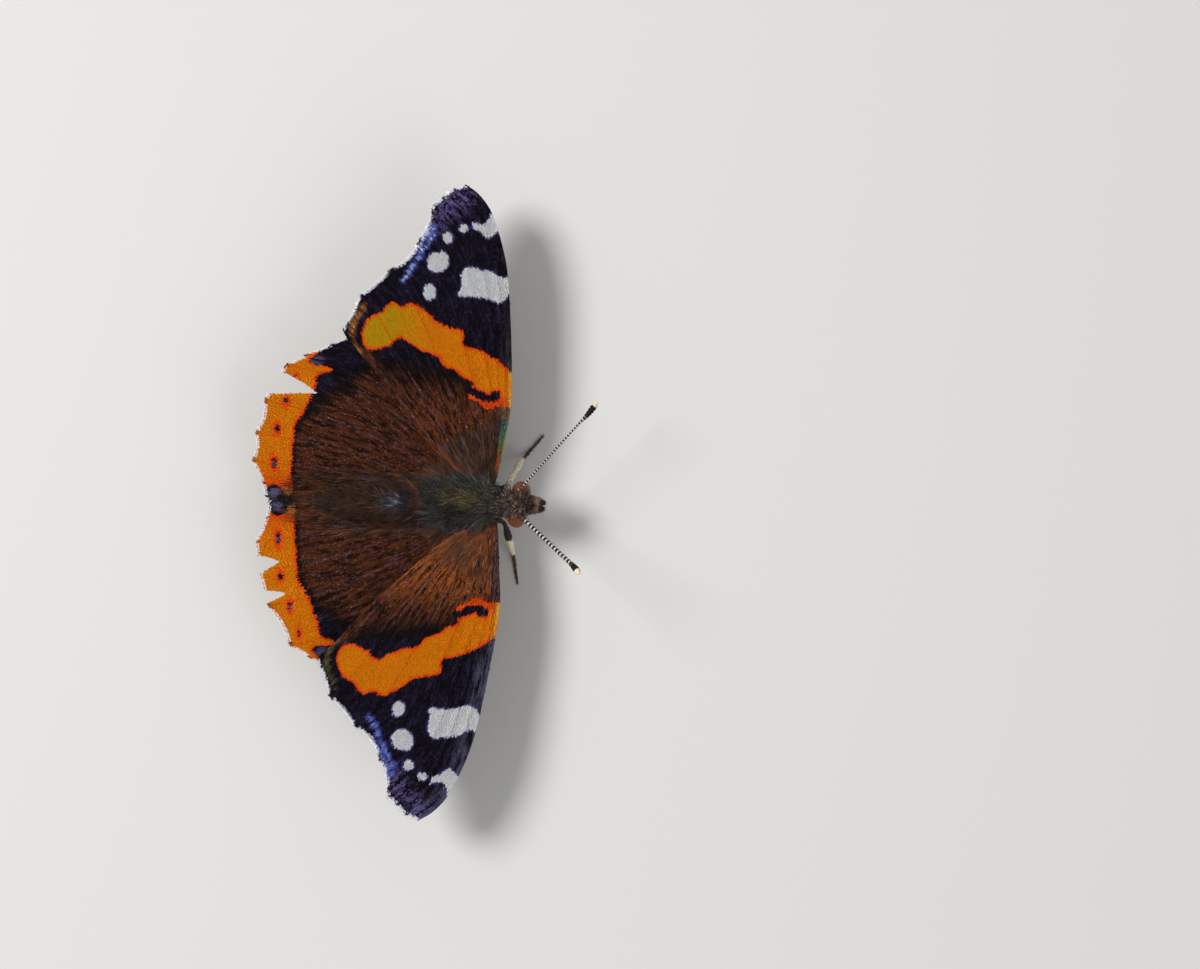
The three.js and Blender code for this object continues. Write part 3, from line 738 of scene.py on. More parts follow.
# The wings: two clear skins pressed together and stiffened by hollow veins that fan out from the
# hinge. The forewing lies over the front edge of the hindwing. Each edge between two vein ends is
# a shallow scallop, and the hindwings are torn where birds have snatched at them.
half_membrane = 0.045
vein_height = 0.1
vein_spread = 0.13
vein_taper = 1.15
vein_below = 0.6
space_sag = 0.1
sag_grows = (0.1, 0.5)
rim_thins = (0.97, 1)
rim_share = 0.5
wing_rows = 112
space_columns = 13
vein_foot = 0.3
foot_share = 0.3
cell_bow = 0.02
fringe_room = 0.3
tear_curve = 0.8
fold_loss = 0.4
fold_fades = (9, 16.5)
edge_steps = 40
side_apart = 7.0
lie_apart = 5.0
lie_breadth = 14
forewing = dict(  # places are out and fore of the hinge, and by side 1 is left and -1 right
    hinge=(3.1, 6.2), height=6.98, rise=0.096, arch=0.8, span=29, fold=(0, 1),
    sweep={1: 0, -1: 9.5}, reach={1: 1, -1: 1.015}, widen={1: 1, -1: 1}, slant={1: 0, -1: 0.07},
    leading=[[-1.7, 0.5], [-0.3, 1.0], [3.2, 1.7], [7.2, 2.4], [13.2, 2.4], [19.2, 2.1], [22.5, 1.55],
             [25.8, 0.5], [27.7, -0.8], [28.8, -2.3]],
    margin=[[28.8, -2.3], [28.3, -3.8], [26.9, -5.6], [23.4, -6.9], [20.4, -9.8], [17.8, -12.7],
            [14.3, -14.4]],
    trailing=[[-1.7, -1.4], [-0.8, -1.8], [1.7, -4.8], [5.2, -7.8], [8.2, -10.3], [12.2, -13.0],
              [13.4, -14.1], [14.3, -14.4]],
    scallops=[0.05, 0.1, 0.3, 0.5, 0.2, 0.2],
    tears={1: [], -1: []},  # share across, half its width, depth
    veins=[(0, 0, 1), (0.065, 0, 0.85), (0.14, 0.44, 1), (0.23, 0.44, 1), (0.4, 0, 1), (0.6, 0.34, 1),
           (0.8, 0.2, 1), (0.955, 0, 1)],  # share across, from and to as shares of the way out
    cell=(0.44, 0.065, 0.4),
)
hindwing = dict(
    hinge=(2.55, 2.95), height=6.05, rise=0.078, arch=0.5, span=22, fold=(2.2, 2.1),
    sweep={1: 0, -1: 0}, reach={1: 1, -1: 0.98}, widen={1: 1, -1: 1.1}, slant={1: 0, -1: 0},
    leading=[[-0.9, 1.4], [0.5, 1.8], [3.8, 1.5], [7.8, -0.5], [11.3, -4.0], [13.3, -7.5],
             [13.9, -10.0], [13.8, -10.9]],
    margin=[[13.8, -10.9], [13.1, -12.5], [12.1, -15.1], [11.1, -17.1], [7.5, -19.3], [4.3, -20.2],
            [1.6, -20.5], [-2.0, -19.2]],
    trailing=[[-0.9, -1.4], [-0.95, -2.8], [-1.5, -4.4], [-2.15, -6.6], [-2.37, -8.8], [-2.37, -14.0],
              [-2.37, -18.2], [-2.0, -19.2]],
    scallops=[0.1, 0.2, 0.2, 0.3, 0.3, 0.3, 0.3],
    tears={1: [(0.427, 0.06, 3.8)], -1: [(0.713, 0.04, 1.9), (0.568, 0.028, 1.9)]},
    veins=[(0, 0, 1), (0.087, 0, 1), (0.22, 0.4, 1), (0.327, 0.4, 1), (0.527, 0, 1), (0.685, 0.32, 1),
           (0.815, 0.18, 1), (0.925, 0, 1)],
    cell=(0.4, 0.087, 0.527),
)


def edge_line(points):
    """A wing's edge as a function of the share of its length, smooth through its points."""
    points = np.array(points, float)
    ends = np.vstack([points[:1], points, points[-1:]])
    share = (np.arange(edge_steps) / edge_steps)[:, None]
    spans = [cubic(b, c, (c - a) / 2, (d - b) / 2, share)
             for a, b, c, d in zip(ends, ends[1:], ends[2:], ends[3:])]
    return along_line(np.vstack([*spans, points[-1:]]))


def along_line(line):
    """Places on a line by the share of its length."""
    reach = lengths_along(line)
    return lambda share: np.stack([np.interp(share, reach / reach[-1], axis) for axis in line.T], axis=-1)


def held_between(value, low, high, outer, inner=0.01):
    """1 between two limits and 0 outside them, with soft ends."""
    return smooth_step(value, low - outer, low + inner) * (1 - smooth_step(value, high - inner, high + outer))


class Wing:
    """One wing. A place on it is a share of the way out from the hinge, and a share across it from
    the leading to the trailing edge. Flat places are out and fore of the hinge, in millimetres."""

    def __init__(self, kind, sizes, hand, marks):
        self.kind, self.sizes, self.hand, self.marks = kind, sizes, hand, marks
        self.name, self.slot = f"{kind}wing_{side_of[hand]}", f"{kind}wing_scales"
        self.leading, self.trailing = edge_line(sizes["leading"]), edge_line(sizes["trailing"])
        self.margin = along_line(np.array(sizes["margin"], float))
        reach = lengths_along(np.array(sizes["margin"], float))
        self.vein_ends = reach / reach[-1]

    def plain(self, out, across):
        """Flat places between the edges, before scallops and tears."""
        u, v = out[..., None], across[..., None]
        corner = self.leading(1.0) * (1 - v) + self.trailing(1.0) * v
        return self.leading(out) * (1 - v) + self.trailing(out) * v + u * (self.margin(across) - corner)

    def length(self, across):
        """The length from hinge to margin, in millimetres."""
        ends = self.plain(np.ones_like(across), across) - self.plain(np.zeros_like(across), across)
        return np.linalg.norm(ends, axis=-1)

    def drawn_in(self, across):
        """How far the margin lies inside the line through the vein ends."""
        pull = np.full_like(across, fringe_room)
        tears = self.sizes["tears"][self.hand]
        for low, high, depth in zip(self.vein_ends, self.vein_ends[1:], self.sizes["scallops"]):
            torn = any(low < at < high for at, _, _ in tears)
            here = np.clip((across - low) / (high - low), 0, 1)
            pull += 0 if torn else depth * 4 * here * (1 - here)
        for at, half, depth in tears:
            pull += depth * np.maximum(0, 1 - np.abs(across - at) / half) ** tear_curve
        return pull

    def torn(self, across):
        return np.any([np.abs(across - at) < half for at, half, _ in self.sizes["tears"][self.hand]]
                      + [np.zeros(len(across), bool)], axis=0)

    def flat(self, out, across):
        return self.plain(out * (1 - self.drawn_in(across) / self.length(across)), across)

    def breadth(self, out):
        """The breadth between leading and trailing edge, in millimetres."""
        return np.linalg.norm(self.flat(out, np.ones_like(out)) - self.flat(out, np.zeros_like(out)), axis=-1)

    def posed(self, places, lift=0.0):
        """Flat places in the resting wing, swept back, sloped, arched and folded at the body."""
        sizes, hand = self.sizes, self.hand
        reach, widen, slant = (sizes[key][hand] for key in ("reach", "widen", "slant"))
        x = (places[..., 0] * widen - places[..., 1] * slant) * reach
        y = places[..., 1] * reach
        sweep = math.radians(-sizes["sweep"][hand])
        out = x * math.cos(sweep) - y * math.sin(sweep) + sizes["hinge"][0]
        fore = x * math.sin(sweep) + y * math.cos(sweep) + sizes["hinge"][1]
        beyond = out - sizes["hinge"][0]
        depth, wide = sizes["fold"]
        fold = depth * (1 - fold_loss * smooth_step(-fore, *fold_fades)) * np.exp(-(np.abs(out) / wide) ** 3)
        up = sizes["height"] + sizes["rise"] * beyond - sizes["arch"] * (beyond / sizes["span"]) ** 2 - fold
        return np.stack([sideways_at(fore) + hand * out, -fore, up + lift], axis=-1)

    def vein(self, out, across):
        """How much of a vein lies under a place: 1 on its crest, 0 away from it."""
        crest = np.zeros_like(across)
        breadth = self.breadth(out)
        for at, start, end in self.sizes["veins"]:
            there = held_between(out, start, end, 0.03)
            crest = np.maximum(crest, there * np.exp(-(np.abs(across - at) * breadth / vein_spread) ** 2))
        end, low, high = self.sizes["cell"]
        closing = held_between(across, low, high, 0.01)
        bowed = end + cell_bow * np.sin(np.pi * np.clip((across - low) / (high - low), 0, 1))
        away = np.abs(out - bowed) * self.length(across)
        return np.maximum(crest, closing * np.exp(-(away / vein_spread) ** 2))

    def space(self, across):
        """0 on the veins and 1 half way between two of them."""
        places = np.array([vein[0] for vein in self.sizes["veins"]] + [1.0])
        space = np.clip(np.searchsorted(places, across, side="right") - 1, 0, len(places) - 2)
        here = (across - places[space]) / (places[space + 1] - places[space])
        return np.sin(np.pi * np.clip(here, 0, 1))

    def face(self, out, across, way=1):
        """The upper face of the membrane, with way 1, or the lower one, with way -1."""
        sag = -space_sag * self.space(across) * smooth_step(out, *sag_grows)
        thick = half_membrane * (1 - rim_share * smooth_step(out, *rim_thins))
        thick += vein_height * self.vein(out, across) * (vein_taper - out) * (1 if way == 1 else vein_below)
        return self.posed(self.flat(out, across), sag + way * thick)

    def ways(self, out, across):
        """The way out along the wing and the way up from it, at places on its upper face."""
        step = 0.01
        further = np.minimum(out + step, 1)
        along = unit(self.face(further, across) - self.face(further - step, across))
        over = self.posed(self.flat(out, across + step)) - self.posed(self.flat(out, across - step))
        return self.face(out, across), along, unit(np.cross(along, over)) * self.hand

    def values(self, out, across):
        """Everything that the paint of a wing reads at a place."""
        places = self.flat(out, across)
        side = np.full(len(out), float(self.hand))
        return {
            **self.marks(places),
            "vein": self.vein(out, across),
            "costa": across * self.breadth(out),
            "flat": np.stack([*places.T, side_apart * side], axis=1),
            "lie": np.stack([out * self.length(across), across * lie_breadth, lie_apart * side], axis=1),
        }


def wing_columns(wing, breadth):
    """Shares across for each row: closer set over the veins, evenly between them."""
    foot = (vein_foot / breadth)[:, None]
    places = [vein[0] for vein in wing["veins"]] + [1.0]
    columns = []
    for low, high in zip(places, places[1:]):
        near = np.minimum(foot, foot_share * (high - low))
        inner = np.linspace(0, 1, space_columns)[None]
        columns += [low + 0 * near, low + near / 2, low + near + inner * (high - low - 2 * near),
                    high - near / 2]
    return np.concatenate([*columns, np.ones_like(foot)], axis=1)


# The markings of the upper side, as outlines on the wing laid flat, out and fore from the hinge.
orange_band = [[9.4, 2.8], [10.4, 1.8], [11.6, 0.2], [12.2, -1.2], [12.6, -2.3], [13.9, -2.3],
               [14.3, -3.4], [14.8, -4.8], [15.8, -5.9], [16.6, -7.0], [16.8, -7.6], [16.4, -8.3],
               [16.8, -9.2], [16.4, -10.0], [15.9, -10.4], [15.5, -11.3], [14.8, -12.0], [13.6, -12.5],
               [12.5, -12.2], [12.0, -11.5], [12.2, -10.5], [12.55, -9.5], [13.25, -8.75], [13.35, -8.45],
               [12.75, -7.8], [11.9, -6.2], [11.5, -5.0], [10.4, -4.1], [10.0, -3.0], [9.4, -2.5],
               [9.0, -1.6], [8.6, -1.3], [8.0, -1.7], [7.3, -1.8], [6.9, -1.0], [6.3, -0.4], [6.2, 0.4],
               [6.5, 1.0], [6.6, 2.8]]
band_bite = [[7.5, -1.2], [7.9, -2.1], [8.5, -1.7], [8.1, -0.9], [7.85, -0.3], [7.6, 0.1], [7.9, 0.5],
             [8.0, 1.1], [7.3, 1.3], [6.95, 0.8], [6.9, 0.2], [6.95, -0.3], [7.1, -0.8]]
white_marks = [
    [[19.5, -2.6], [20.3, -2.0], [20.2, -1.0], [20.0, -0.2], [19.8, 0.7], [19.3, 1.2], [19.2, 2.2],
     [18.3, 2.4], [17.3, 1.9], [16.8, 1.2], [17.0, 0.5], [17.3, -0.3], [17.4, -1.3], [17.5, -2.8],
     [18.4, -2.5]],
    [[21.9, -4.3], [21.4, -3.8], [20.6, -3.8], [20.0, -4.3], [19.8, -5.0], [20.1, -5.7], [20.9, -5.9],
     [21.6, -5.5]],
    [[18.7, -5.7], [18.3, -5.2], [17.4, -5.2], [17.1, -5.7], [17.4, -6.2], [18.3, -6.2]],
    [[23.8, -3.7], [23.4, -3.3], [22.8, -3.5], [22.8, -4.1], [23.3, -4.3], [23.7, -4.1]],
    [[24.6, -2.1], [24.2, -1.8], [23.9, -2.2], [24.0, -2.7], [24.5, -2.6]],
    [[24.8, -1.4], [24.6, -0.6], [24.7, -0.1], [25.2, 0.25], [25.8, 0.5], [25.7, 1.1], [24.2, 1.3],
     [23.4, 0.5], [23.2, 0.1], [23.9, -0.7], [24.2, -1.4]],
]
blue_streaks = [[[19.0, -8.3], [19.8, -7.7], [20.6, -7.2]], [[21.3, -6.8], [22.5, -6.0], [23.6, -5.2]],
                [[22.2, -6.9], [23.4, -6.0], [24.3, -5.3]]]
tan_streak = [[16.4, -12.2], [14.9, -13.1], [14.0, -13.4], [12.8, -13.2], [11.9, -12.7]]
# painted sheen: a line near the forewing tip along which violet sheen is painted over the black
violet_sheen_line = [[27.6, -2.2], [26.4, -3.8], [25.0, -5.3]]
hind_band = [[13.4, -12.0], [12.8, -13.1], [12.1, -13.8], [11.5, -14.2], [11.1, -14.0], [10.95, -12.8],
             [10.6, -12.1], [10.3, -12.8], [10.1, -13.6], [8.8, -13.9], [7.9, -14.3], [6.7, -14.8],
             [5.9, -15.3], [5.2, -15.8], [4.0, -16.0], [2.8, -16.15], [1.4, -16.2], [0.2, -16.3],
             [-0.8, -16.3], [-1.6, -16.3], [-2.3, -16.7], [-2.6, -18.0], [-2.6, -22.0], [14.5, -22.0],
             [14.8, -12.5]]
hind_dots = [  # out, fore, half its size out, half its size fore
    [1.2, -18.0, 0.55, 0.28], [4.6, -17.7, 0.4, 0.22], [7.45, -16.75, 0.42, 0.23], [9.8, -15.8, 0.3, 0.17],
    [11.5, -13.5, 0.5, 0.9],
]
corner_spot = [-1.8, -18.05, 0.55]  # out, fore, half its size
streak_half = 0.38
tan_half = 0.34
violet_sheen_strength = 0.9
violet_sheen_fade = (-2.2, -0.2)
brown_fade = (5.6, 10.8)
brown_slope = 0.15
hem_strength = 0.75
hem_fade = (-1.9, -0.5)
hem_ends = (-13.2, -12.2)
red_fade = (-8.2, -6.8)
hind_brown_fade = (10.8, 14.4)
hind_brown_root = (1.5, 6.0)
hind_red_fade = (-1.5, 1.0)
corner_flat = 0.9
corner_gap = 0.3
dot_core = 0.17
dot_veil = 0.15
# painted shadow: a black strip along each hindwing's inner edge, where the gap between the wings lies
gap_shadow_width = 0.35
gap_shadow_reach = (14.5, 17)
absent = -9.0


def inside_by(places, outline):
    """How far flat places lie inside a closed outline with rounded corners, negative outside it."""
    points = smooth_line([*outline, outline[0]], 4)[:-1]
    onward = np.roll(points, -1, axis=0)
    edge = onward - points
    rest = places[:, None] - points[None]
    share = np.clip((rest * edge).sum(-1) / np.maximum((edge ** 2).sum(-1), 1e-9), 0, 1)
    away = np.linalg.norm(rest - share[..., None] * edge, axis=-1).min(1)
    fore = places[:, None, 1]
    crosses = (points[:, 1] > fore) != (onward[:, 1] > fore)
    level = np.where(np.abs(edge[:, 1]) < 1e-9, 1e-9, edge[:, 1])
    beyond = places[:, None, 0] < points[:, 0] + edge[:, 0] * (fore - points[:, 1]) / level
    odd = (crosses & beyond).sum(1) % 2 == 1
    return np.where(odd, away, -away)


def away_from(places, line):
    """How far flat places lie from an open line."""
    points = np.array(line, float)
    edge = points[1:] - points[:-1]
    rest = places[:, None] - points[None, :-1]
    share = np.clip((rest * edge).sum(-1) / (edge ** 2).sum(-1), 0, 1)
    return np.linalg.norm(rest - share[..., None] * edge, axis=-1).min(1)


def fore_marks(places):
    """How deep flat places lie in each marking of a forewing, or its share where it fades out."""
    out, fore = places.T
    band = np.minimum(inside_by(places, orange_band), -inside_by(places, band_bite))
    white = np.max([inside_by(places, outline) for outline in white_marks], axis=0)
    blue = streak_half - np.min([away_from(places, line) for line in blue_streaks], axis=0)
    brown = 1 - smooth_step(out + brown_slope * fore, *brown_fade)
    hem = hem_strength * smooth_step(-away_from(places, forewing["trailing"]), *hem_fade)
    hem = hem * smooth_step(-out, *hem_ends)
    return {
        "orange": band,
        "white": white,
        "blue": blue,
        "tan": tan_half - away_from(places, tan_streak),
        # violet is a painted sheen, not a marking
        "violet": violet_sheen_strength * smooth_step(-away_from(places, violet_sheen_line), *violet_sheen_fade),
        "brown": np.maximum(brown, hem) * (inside_by(places, band_bite) < 0),
        "redder": smooth_step(-out, *red_fade),
        "costal": np.ones(len(places)),
    }


def hind_marks(places):
    """The same for a hindwing: no white or tan marks, no painted violet sheen, a painted shadow at the inner
    edge.
    """
    out, fore = places.T
    dots = [(1 - np.hypot((out - x) / wide, (fore - y) / long)) * long for x, y, wide, long in hind_dots]
    dots = np.max(dots, axis=0)
    x, y, size = corner_spot
    corner = size - np.hypot(out - x, (fore - y) * corner_flat)
    whole = inside_by(places, hind_band)
    band = np.minimum(whole, -dots)
    inland = 1 - smooth_step(out * 0.8 - fore * 0.55, *hind_brown_fade) * smooth_step(out, *hind_brown_root)
    # painted shadow: near the inner edge the orange and brown give way to black, as the gap's shadow
    gap_shadow = away_from(places, hindwing["trailing"][5:]) - gap_shadow_width * smooth_step(-fore, *gap_shadow_reach)
    return {
        "orange": np.minimum(band, np.minimum(-corner - corner_gap, gap_shadow)),
        "white": np.full(len(places), absent),
        "blue": np.maximum(corner, np.minimum(dots, dot_core) - dot_veil),
        "tan": np.full(len(places), absent),
        "violet": np.zeros(len(places)),
        "brown": inland * smooth_step(-whole, -0.1, 0.9) * smooth_step(gap_shadow, -0.1, 0.3),
        "redder": smooth_step(-out, *hind_red_fade),
        "costal": np.zeros(len(places)),
    }


def wing_colour(shade):
    """The colours of the scales, from the ground up to the white marks that lie over all others."""
    flat, lie = shade.stored_vector("flat"), shade.stored_vector("lie")
    out, fore, side = flat.parts()
    left = side.between(-1.0, 1.0)
    right = 1.0 - left
    costa, costal = shade.stored("costa"), shade.stored("costal")
    streak = lie.stretched(0.5, 3.2, 1).noise(1.0, 4.0)
    fine = lie.stretched(1.6, 9.0, 1).noise(1.0, 2.0)
    strand = streak * 0.6 + lie.stretched(0.9, 6.0, 1).noise(1.0, 3.0) * 0.4
    speckle = flat.noise(4.0, 3.0) * 0.5 + streak * 0.5
    drift = streak - 0.5
    ragged = (flat.noise(1.6, 1.0) - 0.5) * 0.3 + drift * 0.45 + (fine - 0.5) * 0.4

    # the ground: black with speckles of painted violet sheen, and brown over the wing roots, with paler veins
    brown = (shade.stored("brown") - costal * left * 0.12 + drift * 1.2).between(0.15, 0.85)
    # painted sheen: lighter violet speckles in the black, and warmer ones where it meets the brown
    sheen_speckles = speckle.between(0.46, 0.66)
    black = sheen_speckles.blend(tint(9, 5, 12), tint(46, 36, 66))
    sooty = shade.stored("brown").between(0.0, 0.2)
    black = sooty.blend(black, sheen_speckles.blend(tint(14, 7, 6), tint(44, 28, 26)))
    # painted sheen: grey-blue along the front edge of the right forewing only
    shine = right * costal * costa.between(1.9, 0.5) * streak.between(0.36, 0.62)
    black = (shine * 0.8).blend(black, tint(86, 86, 112))
    # painted sheen: violet over the black near the forewing tip
    black = (shade.stored("violet") * speckle.between(0.44, 0.58)).blend(black, tint(108, 94, 150))
    earth = strand.between(0.4, 0.6).blend(tint(28, 11, 7), tint(92, 46, 24))
    earth = (fine.between(0.54, 0.68) * 0.6).blend(earth, tint(118, 84, 76))
    warm = (out + drift * 4.0).between(9.0, 4.0) * (costa - 0.8).between(0.0, 1.2) * costal
    warm = warm * (1.0 - left * 0.8) * strand.between(0.4, 0.58)
    earth = warm.blend(earth, tint(164, 88, 38))
    colour = brown.blend(black, earth)
    crest = shade.stored("vein").between(0.3, 0.9) * brown * fine.between(0.4, 0.6)
    colour = (crest * 0.45).blend(colour, tint(104, 84, 98))

    # the front edge: grey hairs, and on the left a painted iridescent sheen from orange over blue and green
    # to tan
    grey_edge = (costa + drift).between(1.0, 0.2) * out.between(18.0, 7.0) * strand.between(0.35, 0.6)
    colour = (grey_edge * (left * 0.35 + 0.35)).blend(colour, tint(98, 90, 92))
    shifted = out + (flat.noise(1.5) - 0.5) * 3.0
    iridescent_sheen = shifted.between(1.6, 3.2).blend(tint(160, 76, 24), tint(50, 74, 108))
    green = shifted.between(2.4, 5.0).blend(tint(98, 116, 44), tint(52, 112, 92))
    iridescent_sheen = ((costa - 0.5).between(0.25, -0.25) * shifted.between(1.6, 2.6)).blend(iridescent_sheen, green)
    iridescent_sheen = shifted.between(4.4, 5.8).blend(iridescent_sheen, tint(112, 88, 62))
    iridescent_sheen_mask = left * (costa + drift).between(1.5, 0.7) * out.between(8.6, 6.4) * out.between(-0.8, 0.4)
    colour = (iridescent_sheen_mask * costal * strand.between(0.3, 0.5) * 0.8).blend(colour, iridescent_sheen)

    # the orange bands, with redder rims and veins
    orange = shade.stored("orange") + ragged * 0.8
    # painted reflection: the left forewing's band turns olive-yellow towards its rear, as reflected sunlight
    reflected_olive = left * costal * (fore + drift).between(-4.6, -10.4)
    flame = (reflected_olive * 0.8).blend(tint(217, 123, 1), tint(176, 146, 8))
    flame = (shade.stored("redder") * 0.8).blend(flame, tint(222, 86, 4))
    faded = (out + drift * 2.4).between(7.6, 6.2) * costal
    flame = (faded * 0.85).blend(flame, tint(150, 52, 14))
    flame = (shade.stored("vein").between(0.55, 0.95) * 0.55).blend(flame, tint(216, 70, 4))
    flame = (orange + drift * 0.3).between(0.42, 0.0).blend(flame, tint(238, 70, 4))
    paler = (1.0 - costal) * (out + drift).between(-0.9, -1.6)
    flame = (paler * 0.8).blend(flame, tint(150, 112, 62))
    gilded = costa.between(0.55, 0.2) * costal * streak.between(0.36, 0.56)
    flame = (gilded * 0.7).blend(flame, tint(206, 176, 66))
    colour = orange.between(-0.04, 0.04).blend(colour, flame)

    # the tan streak, the blue or violet spots and the white marks
    tan = shade.stored("tan") + ragged
    tawny = left.blend(tint(98, 84, 56), tint(158, 102, 56)).times(speckle.between(0.36, 0.62) * 0.6 + 0.55)
    colour = (tan.between(-0.15, 0.3) * strand.between(0.38, 0.56)).blend(colour, tawny)
    blue = shade.stored("blue") + ragged
    sheen = costal.blend(tint(98, 92, 126), tint(72, 84, 172))
    patchy = streak * 0.6 + flat.noise(2.6, 2.0) * 0.4
    colour = (blue.between(-0.15, 0.25) * patchy.between(0.38, 0.5)).blend(colour, sheen)
    frost = blue.between(0.14, 0.36) * fine.between(0.4, 0.58) * costal
    colour = (frost * (left * 0.6 + 0.35)).blend(colour, tint(190, 198, 222))
    white = shade.stored("white") + ragged * 0.7
    colour = (white.between(-0.22, -0.04) * 0.8).blend(colour, tint(66, 58, 128))
    return white.between(-0.05, 0.05).blend(colour, tint(206, 206, 208)), streak, fine


upper_paint, shade = new_paint("wing_upper_side")
colour, streak, fine = wing_colour(shade)
lay_paint(shade, colour.times(shade.stored("tone")), 0.55, streak + fine, 0.03, Specular_IOR_Level=0.1)

under_paint, shade = new_paint("wing_under_side")
colour, streak, fine = wing_colour(shade)
flat = shade.stored_vector("flat")
marble = (flat.noise(0.7, 4.0) + (flat.noise(2.4, 3.0) - 0.5) * 0.5).between(0.42, 0.62)
bark = marble.blend(tint(58, 44, 34), tint(132, 108, 86))
colour = (shade.stored("under") * 0.75).blend(colour, bark)
lay_paint(shade, colour, 0.65, streak + fine, 0.03, Specular_IOR_Level=0.15)

bark_share = {"fore": 0.45, "hind": 1.0}
membrane_tone = 0.9
wings = [Wing(kind, sizes, hand, marks) for hand in side_of
         for kind, sizes, marks in (("fore", forewing, fore_marks), ("hind", hindwing, hind_marks))]
for wing in wings:
    rows = np.linspace(0, 1, wing_rows)
    across = wing_columns(wing.sizes, wing.breadth(rows))
    tall, many = across.shape
    out = np.repeat(rows, many)
    across = across.ravel()
    count = len(out)
    points = np.concatenate([wing.face(out, across), wing.face(out, across, -1)])
    r, c = np.meshgrid(np.arange(tall - 1), np.arange(many - 1), indexing="ij")
    a = (r * many + c).ravel()
    upper = np.stack([a, a + many, a + many + 1, a + 1], axis=1)
    lower = upper[:, ::-1] + count
    border = np.concatenate([np.arange(many - 1), np.arange(tall - 1) * many + many - 1,
                             count - 1 - np.arange(many - 1), np.arange(tall - 1, 0, -1) * many])
    onward = np.roll(border, -1)
    rim = np.stack([border, onward, onward + count, border + count], axis=1)
    faces = np.concatenate([upper, lower, rim])[:, ::wing.hand]
    values = {key: np.concatenate([value, value]) for key, value in wing.values(out, across).items()}
    values |= {"tone": membrane_tone, "under": bark_share[wing.kind]}
    painted = np.repeat([0, 1, 0], [len(upper), len(lower), len(rim)])
    made = made_piece(wing.name + "_membrane", points, [faces], [upper_paint, under_paint],
                      values, paint_of=painted)
    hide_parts(wing.name)

# The wing scales: flat blades of horn that lap outwards in rows like slates, each of one colour.
# A marking is only where scales of its colour stand, so its edge is as ragged as their tips.
scale_length = 0.3
scale_width = 0.15
row_pitch = 0.19
scale_pitch = 0.125
scale_lift = 0.1
scale_spread = 0.13
bare_root = 0.04
bare_edge = 0.002
last_row = 0.995
jitter = 0.3
worn_share = 0.012
worn_light = 2.4
off_marks = -0.2

draw = np.random.default_rng(41)


def wing_bed(wing, out, across, length, width, lift, spread, draw, keel=0.12, tones=(0.88, 1.14),
             inwards=0.0):
    """Blades on the upper side of a wing, at places given as shares, turned inwards by an angle."""
    count = len(out)
    root, along, up = wing.ways(out, across)
    angle = draw.normal(-wing.hand * inwards, spread, count)
    made = blades(root + up * hair_sink, swung(along, up, angle), up,
                  length * draw.uniform(0.8, 1.2, count), width * draw.uniform(0.8, 1.2, count),
                  lift * draw.uniform(0.3, 1.7, count), 0.0, keel)
    values = wing.values(out, across)
    dark = (values["orange"] < off_marks) & (values["white"] < off_marks)
    tone = draw.uniform(*tones, count)
    values["tone"] = tone * np.where(dark & (draw.random(count) < worn_share), worn_light, 1)
    return made, np.stack([out, across], axis=1), values


for wing in wings:
    pitch = row_pitch / wing.length(np.array([0.5]))[0]
    outs, acrosses = [], []
    for number, row in enumerate(np.arange(bare_root, last_row, pitch)):
        many = int(wing.breadth(np.array([row]))[0] / scale_pitch)
        across = (np.arange(many) + 0.5 * (number % 2) + draw.uniform(-jitter, jitter, many)) / many
        across = across[(across > bare_edge) & (across < 1 - bare_edge)]
        outs.append(np.clip(row + draw.uniform(-jitter, jitter, len(across)) * pitch, 0, 1))
        acrosses.append(across)
    out, across = np.concatenate(outs), np.concatenate(acrosses)
    bed = wing_bed(wing, out, across, scale_length, scale_width, scale_lift, scale_spread, draw)
    coat_piece(wing.name + "_scales", [bed], upper_paint)

# The fringe: long scales that stand out past the margin in two layers, white between the vein
# ends and black over them. Long brown hairs cover the wing roots and the hindwings' inner part.
fringe_length = 0.38
fringe_width = 0.1
fringe_pitch = 0.045
fringe_run = 30
fringe_root = 0.996
layer_step = 0.006
inner_layer = 0.7
short_share = 0.45
hem_gap = 0.2
edge_hairs = 900

fringe_paint, shade = new_paint("fringe")
uneven = (shade.stored_vector("flat").noise(2.5) - 0.5) * 0.7
white = (shade.stored("space") + uneven).between(hem_gap, hem_gap + 0.1)
colour = white.blend(tint(30, 24, 32), tint(222, 222, 226))
lay_paint(shade, colour.times(shade.stored("tone")), 0.7, Specular_IOR_Level=0.15)
for wing in wings:
    beds = []
    for layer, length in enumerate((fringe_length, fringe_length * inner_layer)):
        many = int(fringe_run / fringe_pitch)
        across = (np.arange(many) + draw.uniform(0, 1, many)) / many
        across = across[~wing.torn(across)]
        out = np.full(len(across), fringe_root - layer_step * layer)
        space = wing.space(across)
        scalloped = length * (short_share + (1 - short_share) * np.minimum(1, 3 * space))
        bed = wing_bed(wing, out, across, scalloped, fringe_width, lift=0.03, spread=0.2, draw=draw,
                       keel=0.25, tones=(0.85, 1.1))
        bed[2]["space"] = space
        beds.append(bed)
    coat_piece(wing.name + "_fringe", beds, fringe_paint)

